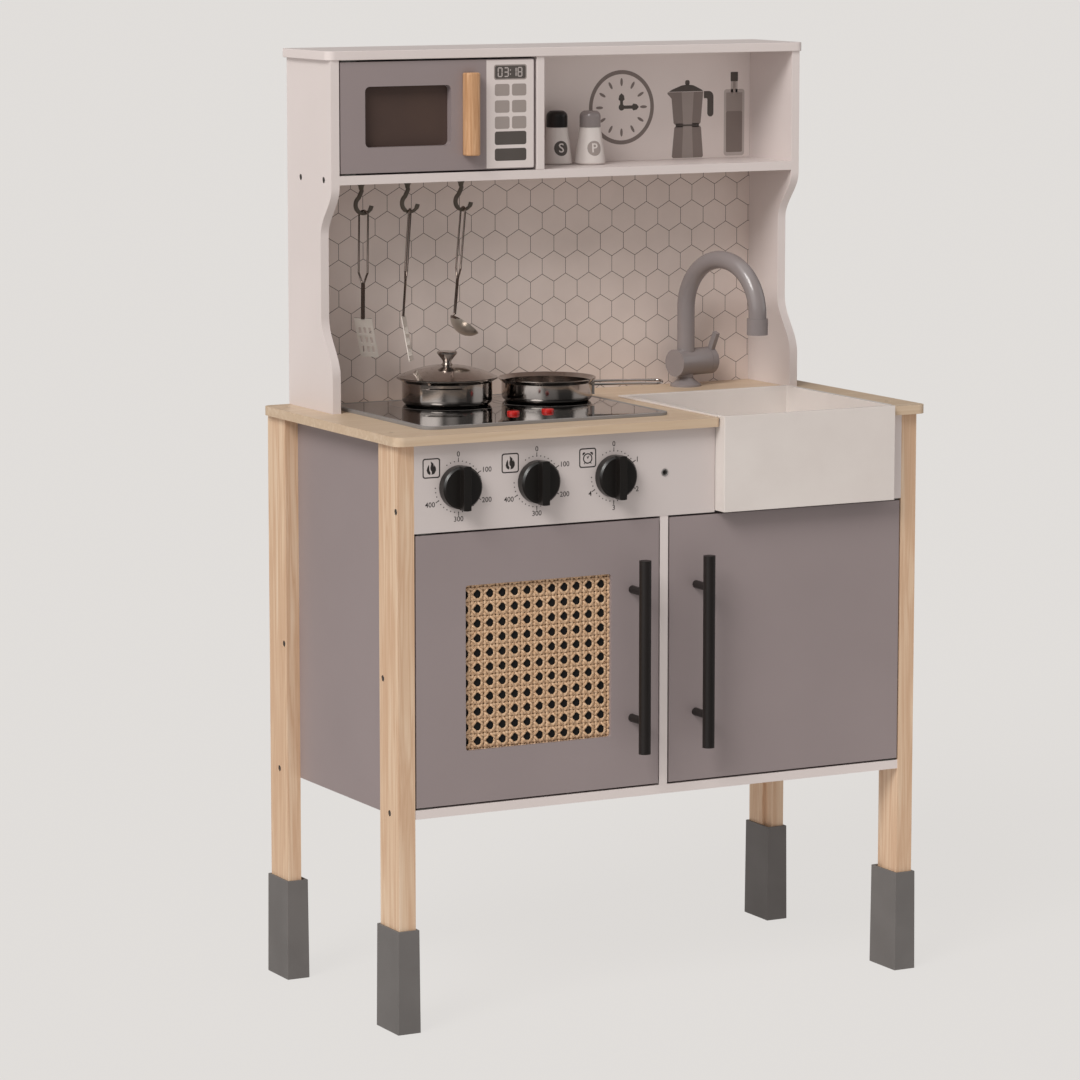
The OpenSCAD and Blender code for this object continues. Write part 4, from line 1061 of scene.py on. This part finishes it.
def softboxes(tree, direction):
    """What polished parts mirror: a dim room with lights at the left, the right, overhead and in front."""
    total = 0.16
    lights = (((-0.85, -0.25, 0.45), 0.72, 0.9, 2.2), ((0.9, -0.35, 0.2), 0.86, 0.95, 1.3),
              ((-0.1, 0.1, 1.0), 0.45, 0.95, 1.2), ((-0.3, -1.0, 0.35), 0.93, 0.985, 0.5))
    for aim, start, end, power in lights:
        facing = add(tree, "ShaderNodeVectorMath", {"operation": "DOT_PRODUCT"}, _0=direction,
                     _1=Vector(aim).normalized()).outputs["Value"]
        box = add(tree, "ShaderNodeMapRange", {"interpolation_type": "SMOOTHSTEP"}, _0=facing, _1=start,
                  _2=end, _3=0.0, _4=power).outputs[0]
        total = math_node(tree, "ADD", total, box)
    return add(tree, "ShaderNodeCombineColor", _0=total, _1=total, _2=total).outputs[0]


def build_floor(sizes):
    """A plain pale floor that glows, so that shadows on it stay faint; polish mirrors less of the glow."""
    mirrored_share, reach = 0.09, 150
    tree, shader, _ = surface("floor")
    shader.inputs["Base Color"].default_value = linear("#4A4948")
    shader.inputs["Emission Color"].default_value = linear("#E1DEDB")
    shader.inputs["Roughness"].default_value = 1.0
    shader.inputs["Specular IOR Level"].default_value = 0.0
    mirrored = add(tree, "ShaderNodeLightPath").outputs["Is Glossy Ray"]
    glow = span(tree, mirrored, sizes.floor_glow, sizes.floor_glow * mirrored_share)
    tree.links.new(glow, shader.inputs["Emission Strength"])
    mesh = bpy.data.meshes.new("floor")
    signs = (-1, -1), (1, -1), (1, 1), (-1, 1)
    mesh.from_pydata([(x * reach, y * reach, 0) for x, y in signs], [], [(0, 1, 2, 3)])
    mesh.materials.append(FINISH["floor"])
    floor = bpy.data.objects.new("floor", mesh)
    bpy.context.scene.collection.objects.link(floor)


def build_sky(sizes, key):
    """Soft light all round, brightest towards the key light; polished parts mirror the softboxes instead."""
    world = bpy.data.worlds.new("studio")
    bpy.context.scene.world = world
    world.use_nodes = True
    tree = world.node_tree
    direction = add(tree, "ShaderNodeTexCoord").outputs["Generated"]
    facing = add(tree, "ShaderNodeVectorMath", {"operation": "DOT_PRODUCT"}, _0=direction,
                 _1=key).outputs["Value"]
    share = span(tree, facing, 0.5, 1.0)
    light = ramp(tree, share, [(0.0, "#706C69"), (0.45, "#A9A5A2"), (0.75, "#DEDAD7"), (1.0, "#FFFDFA")])
    mirrored = add(tree, "ShaderNodeLightPath").outputs["Is Glossy Ray"]
    seen = add(tree, "ShaderNodeMix", {"data_type": "RGBA"}, _0=mirrored, _6=light,
               _7=softboxes(tree, direction))
    background = tree.nodes["Background"]
    background.inputs["Strength"].default_value = sizes.sky_strength
    tree.links.new(seen.outputs[2], background.inputs["Color"])


def build_camera():
    """A long lens to the left and a little above the kitchen's top, looking slightly down."""
    lens = bpy.data.cameras.new("camera")
    lens.lens, lens.sensor_width, lens.sensor_height, lens.clip_end = 151.3, 36, 36, 500
    camera = bpy.data.objects.new("camera", lens)
    heading, pitch = math.radians(27.939), math.radians(-8.300)
    turn = Matrix.Rotation(-heading, 4, "Z") @ Matrix.Rotation(math.pi / 2 + pitch, 4, "X")
    camera.matrix_world = Matrix.Translation((-2.1787, -3.9805, 1.1091)) @ turn
    bpy.context.scene.collection.objects.link(camera)
    bpy.context.scene.camera = camera


def build_stage(sizes):
    """The floor, soft light from the upper left, and the camera."""
    scene = bpy.context.scene
    scene.view_settings.view_transform = "Standard"
    build_floor(sizes)
    key = Vector(sizes.key_direction).normalized()
    build_sky(sizes, key)
    lamp = bpy.data.lights.new("key", "SUN")
    lamp.energy, lamp.angle = sizes.key_strength, math.radians(26)
    lamp.color = (1.0, 0.985, 0.96)
    key_light = bpy.data.objects.new("key", lamp)
    key_light.rotation_euler = key.to_track_quat("Z", "Y").to_euler()
    scene.collection.objects.link(key_light)
    build_camera()


# ADD-ON

def paint(name, about, value):
    return bpy.props.FloatVectorProperty(name=name, description=about, default=linear(value)[:3],
                                         subtype="COLOR", size=3, min=0.0, max=1.0)


def length(name, about, value_mm):
    return bpy.props.FloatProperty(name=name, description=about, default=value_mm * MM, subtype="DISTANCE",
                                   unit="LENGTH")


def number(name, about, value):
    return bpy.props.FloatProperty(name=name, description=about, default=value)


class KitchenSettings(bpy.types.PropertyGroup):
    """Sizes and colours that a user may change."""
    white_paint: paint("White paint", "Colour of the white boards", "#DDD2CF")
    grey_paint: paint("Grey paint", "Colour of the doors and side panels", "#958888")
    edge_ease: length("Edge ease", "Rounding of the boards' edges", 0.7)
    tile_width: length("Tile width", "Distance across a hexagon tile's flats", 27.3)
    tile_start_x: length("Tile start across", "How far outside the left edge the first tile is centred", 29.3)
    tile_start_z: length("Tile start up", "How far below the worktop the first row is centred", 36.4)
    cane_pitch: length("Cane pitch", "Distance between holes in the cane", 13.6)
    cane_first_x: length("Cane start across", "The first hole's centre, from the cane's left edge", -6.5)
    cane_first_z: length("Cane start up", "The first row's centre, from the cane's lower edge", -0.4)
    key_direction: bpy.props.FloatVectorProperty(
        name="Key direction", description="Where the main light comes from",
        default=(-0.66, -0.42, 0.62), size=3)
    key_strength: number("Key strength", "Strength of the main light", 1.9)
    sky_strength: number("Sky strength", "Strength of the soft light all round", 0.66)
    floor_glow: number("Floor glow", "Light that the floor itself gives", 0.92)


class BuildStep:
    """One building step; its own error stops the operator."""

    def execute(self, context):
        self.build(context.scene.toy_kitchen)
        return {"FINISHED"}


class KITCHEN_OT_materials(BuildStep, bpy.types.Operator):
    """Make every finish"""
    bl_idname, bl_label, build = "kitchen.materials", "Materials", staticmethod(make_materials)


class KITCHEN_OT_boards(BuildStep, bpy.types.Operator):
    """Paint the boards and ease their edges"""
    bl_idname, bl_label, build = "kitchen.boards", "Boards", staticmethod(build_boards)


class KITCHEN_OT_legs(BuildStep, bpy.types.Operator):
    """Make the pine legs and their sleeves"""
    bl_idname, bl_label, build = "kitchen.legs", "Legs", staticmethod(build_legs)


class KITCHEN_OT_counter(BuildStep, bpy.types.Operator):
    """Make the worktop and the hob"""
    bl_idname, bl_label, build = "kitchen.counter", "Worktop and hob", staticmethod(build_counter)


class KITCHEN_OT_sink(BuildStep, bpy.types.Operator):
    """Make the sink and the faucet"""
    bl_idname, bl_label, build = "kitchen.sink", "Sink and faucet", staticmethod(build_sink)


class KITCHEN_OT_doors(BuildStep, bpy.types.Operator):
    """Make the door handles and weave the cane"""
    bl_idname, bl_label, build = "kitchen.doors", "Doors", staticmethod(build_doors)


class KITCHEN_OT_controls(BuildStep, bpy.types.Operator):
    """Make the knobs, dials and screws"""
    bl_idname, bl_label, build = "kitchen.controls", "Controls", staticmethod(build_controls)


class KITCHEN_OT_back(BuildStep, bpy.types.Operator):
    """Print the tiles, the clock, the coffee pot and the bottle"""
    bl_idname, bl_label, build = "kitchen.back", "Printed back", staticmethod(build_back)


class KITCHEN_OT_microwave(BuildStep, bpy.types.Operator):
    """Make the microwave's window, grip and print"""
    bl_idname, bl_label, build = "kitchen.microwave", "Microwave", staticmethod(build_microwave)


class KITCHEN_OT_cookware(BuildStep, bpy.types.Operator):
    """Make the pot and the pan"""
    bl_idname, bl_label, build = "kitchen.cookware", "Cookware", staticmethod(build_cookware)


class KITCHEN_OT_utensils(BuildStep, bpy.types.Operator):
    """Make the hooks and the hanging utensils"""
    bl_idname, bl_label, build = "kitchen.utensils", "Utensils", staticmethod(build_utensils)


class KITCHEN_OT_shakers(BuildStep, bpy.types.Operator):
    """Make the salt and pepper shakers"""
    bl_idname, bl_label, build = "kitchen.shakers", "Shakers", staticmethod(build_shakers)


class KITCHEN_OT_stage(BuildStep, bpy.types.Operator):
    """Set the floor, the light and the camera"""
    bl_idname, bl_label, build = "kitchen.stage", "Stage", staticmethod(build_stage)


STEPS = (KITCHEN_OT_materials, KITCHEN_OT_boards, KITCHEN_OT_legs, KITCHEN_OT_counter, KITCHEN_OT_sink,
         KITCHEN_OT_doors, KITCHEN_OT_controls, KITCHEN_OT_back, KITCHEN_OT_microwave, KITCHEN_OT_cookware,
         KITCHEN_OT_utensils, KITCHEN_OT_shakers, KITCHEN_OT_stage)


class KITCHEN_PT_panel(bpy.types.Panel):
    """The kitchen's sizes, colours and steps"""
    bl_idname, bl_label = "KITCHEN_PT_panel", "Toy kitchen"
    bl_space_type, bl_region_type, bl_category = "VIEW_3D", "UI", "Toy kitchen"

    def draw(self, context):
        settings = context.scene.toy_kitchen
        for name in KitchenSettings.__annotations__:
            self.layout.prop(settings, name)
        for step in STEPS:
            self.layout.operator(step.bl_idname)


CLASSES = (KitchenSettings, *STEPS, KITCHEN_PT_panel)


def register():
    for cls in CLASSES:
        bpy.utils.register_class(cls)
    bpy.types.Scene.toy_kitchen = bpy.props.PointerProperty(type=KitchenSettings)


def unregister():
    del bpy.types.Scene.toy_kitchen
    for cls in reversed(CLASSES):
        bpy.utils.unregister_class(cls)


def main():
    register()
    for step in STEPS:
        area, name = step.bl_idname.split(".")
        getattr(getattr(bpy.ops, area), name)()


if __name__ == "__main__":
    main()
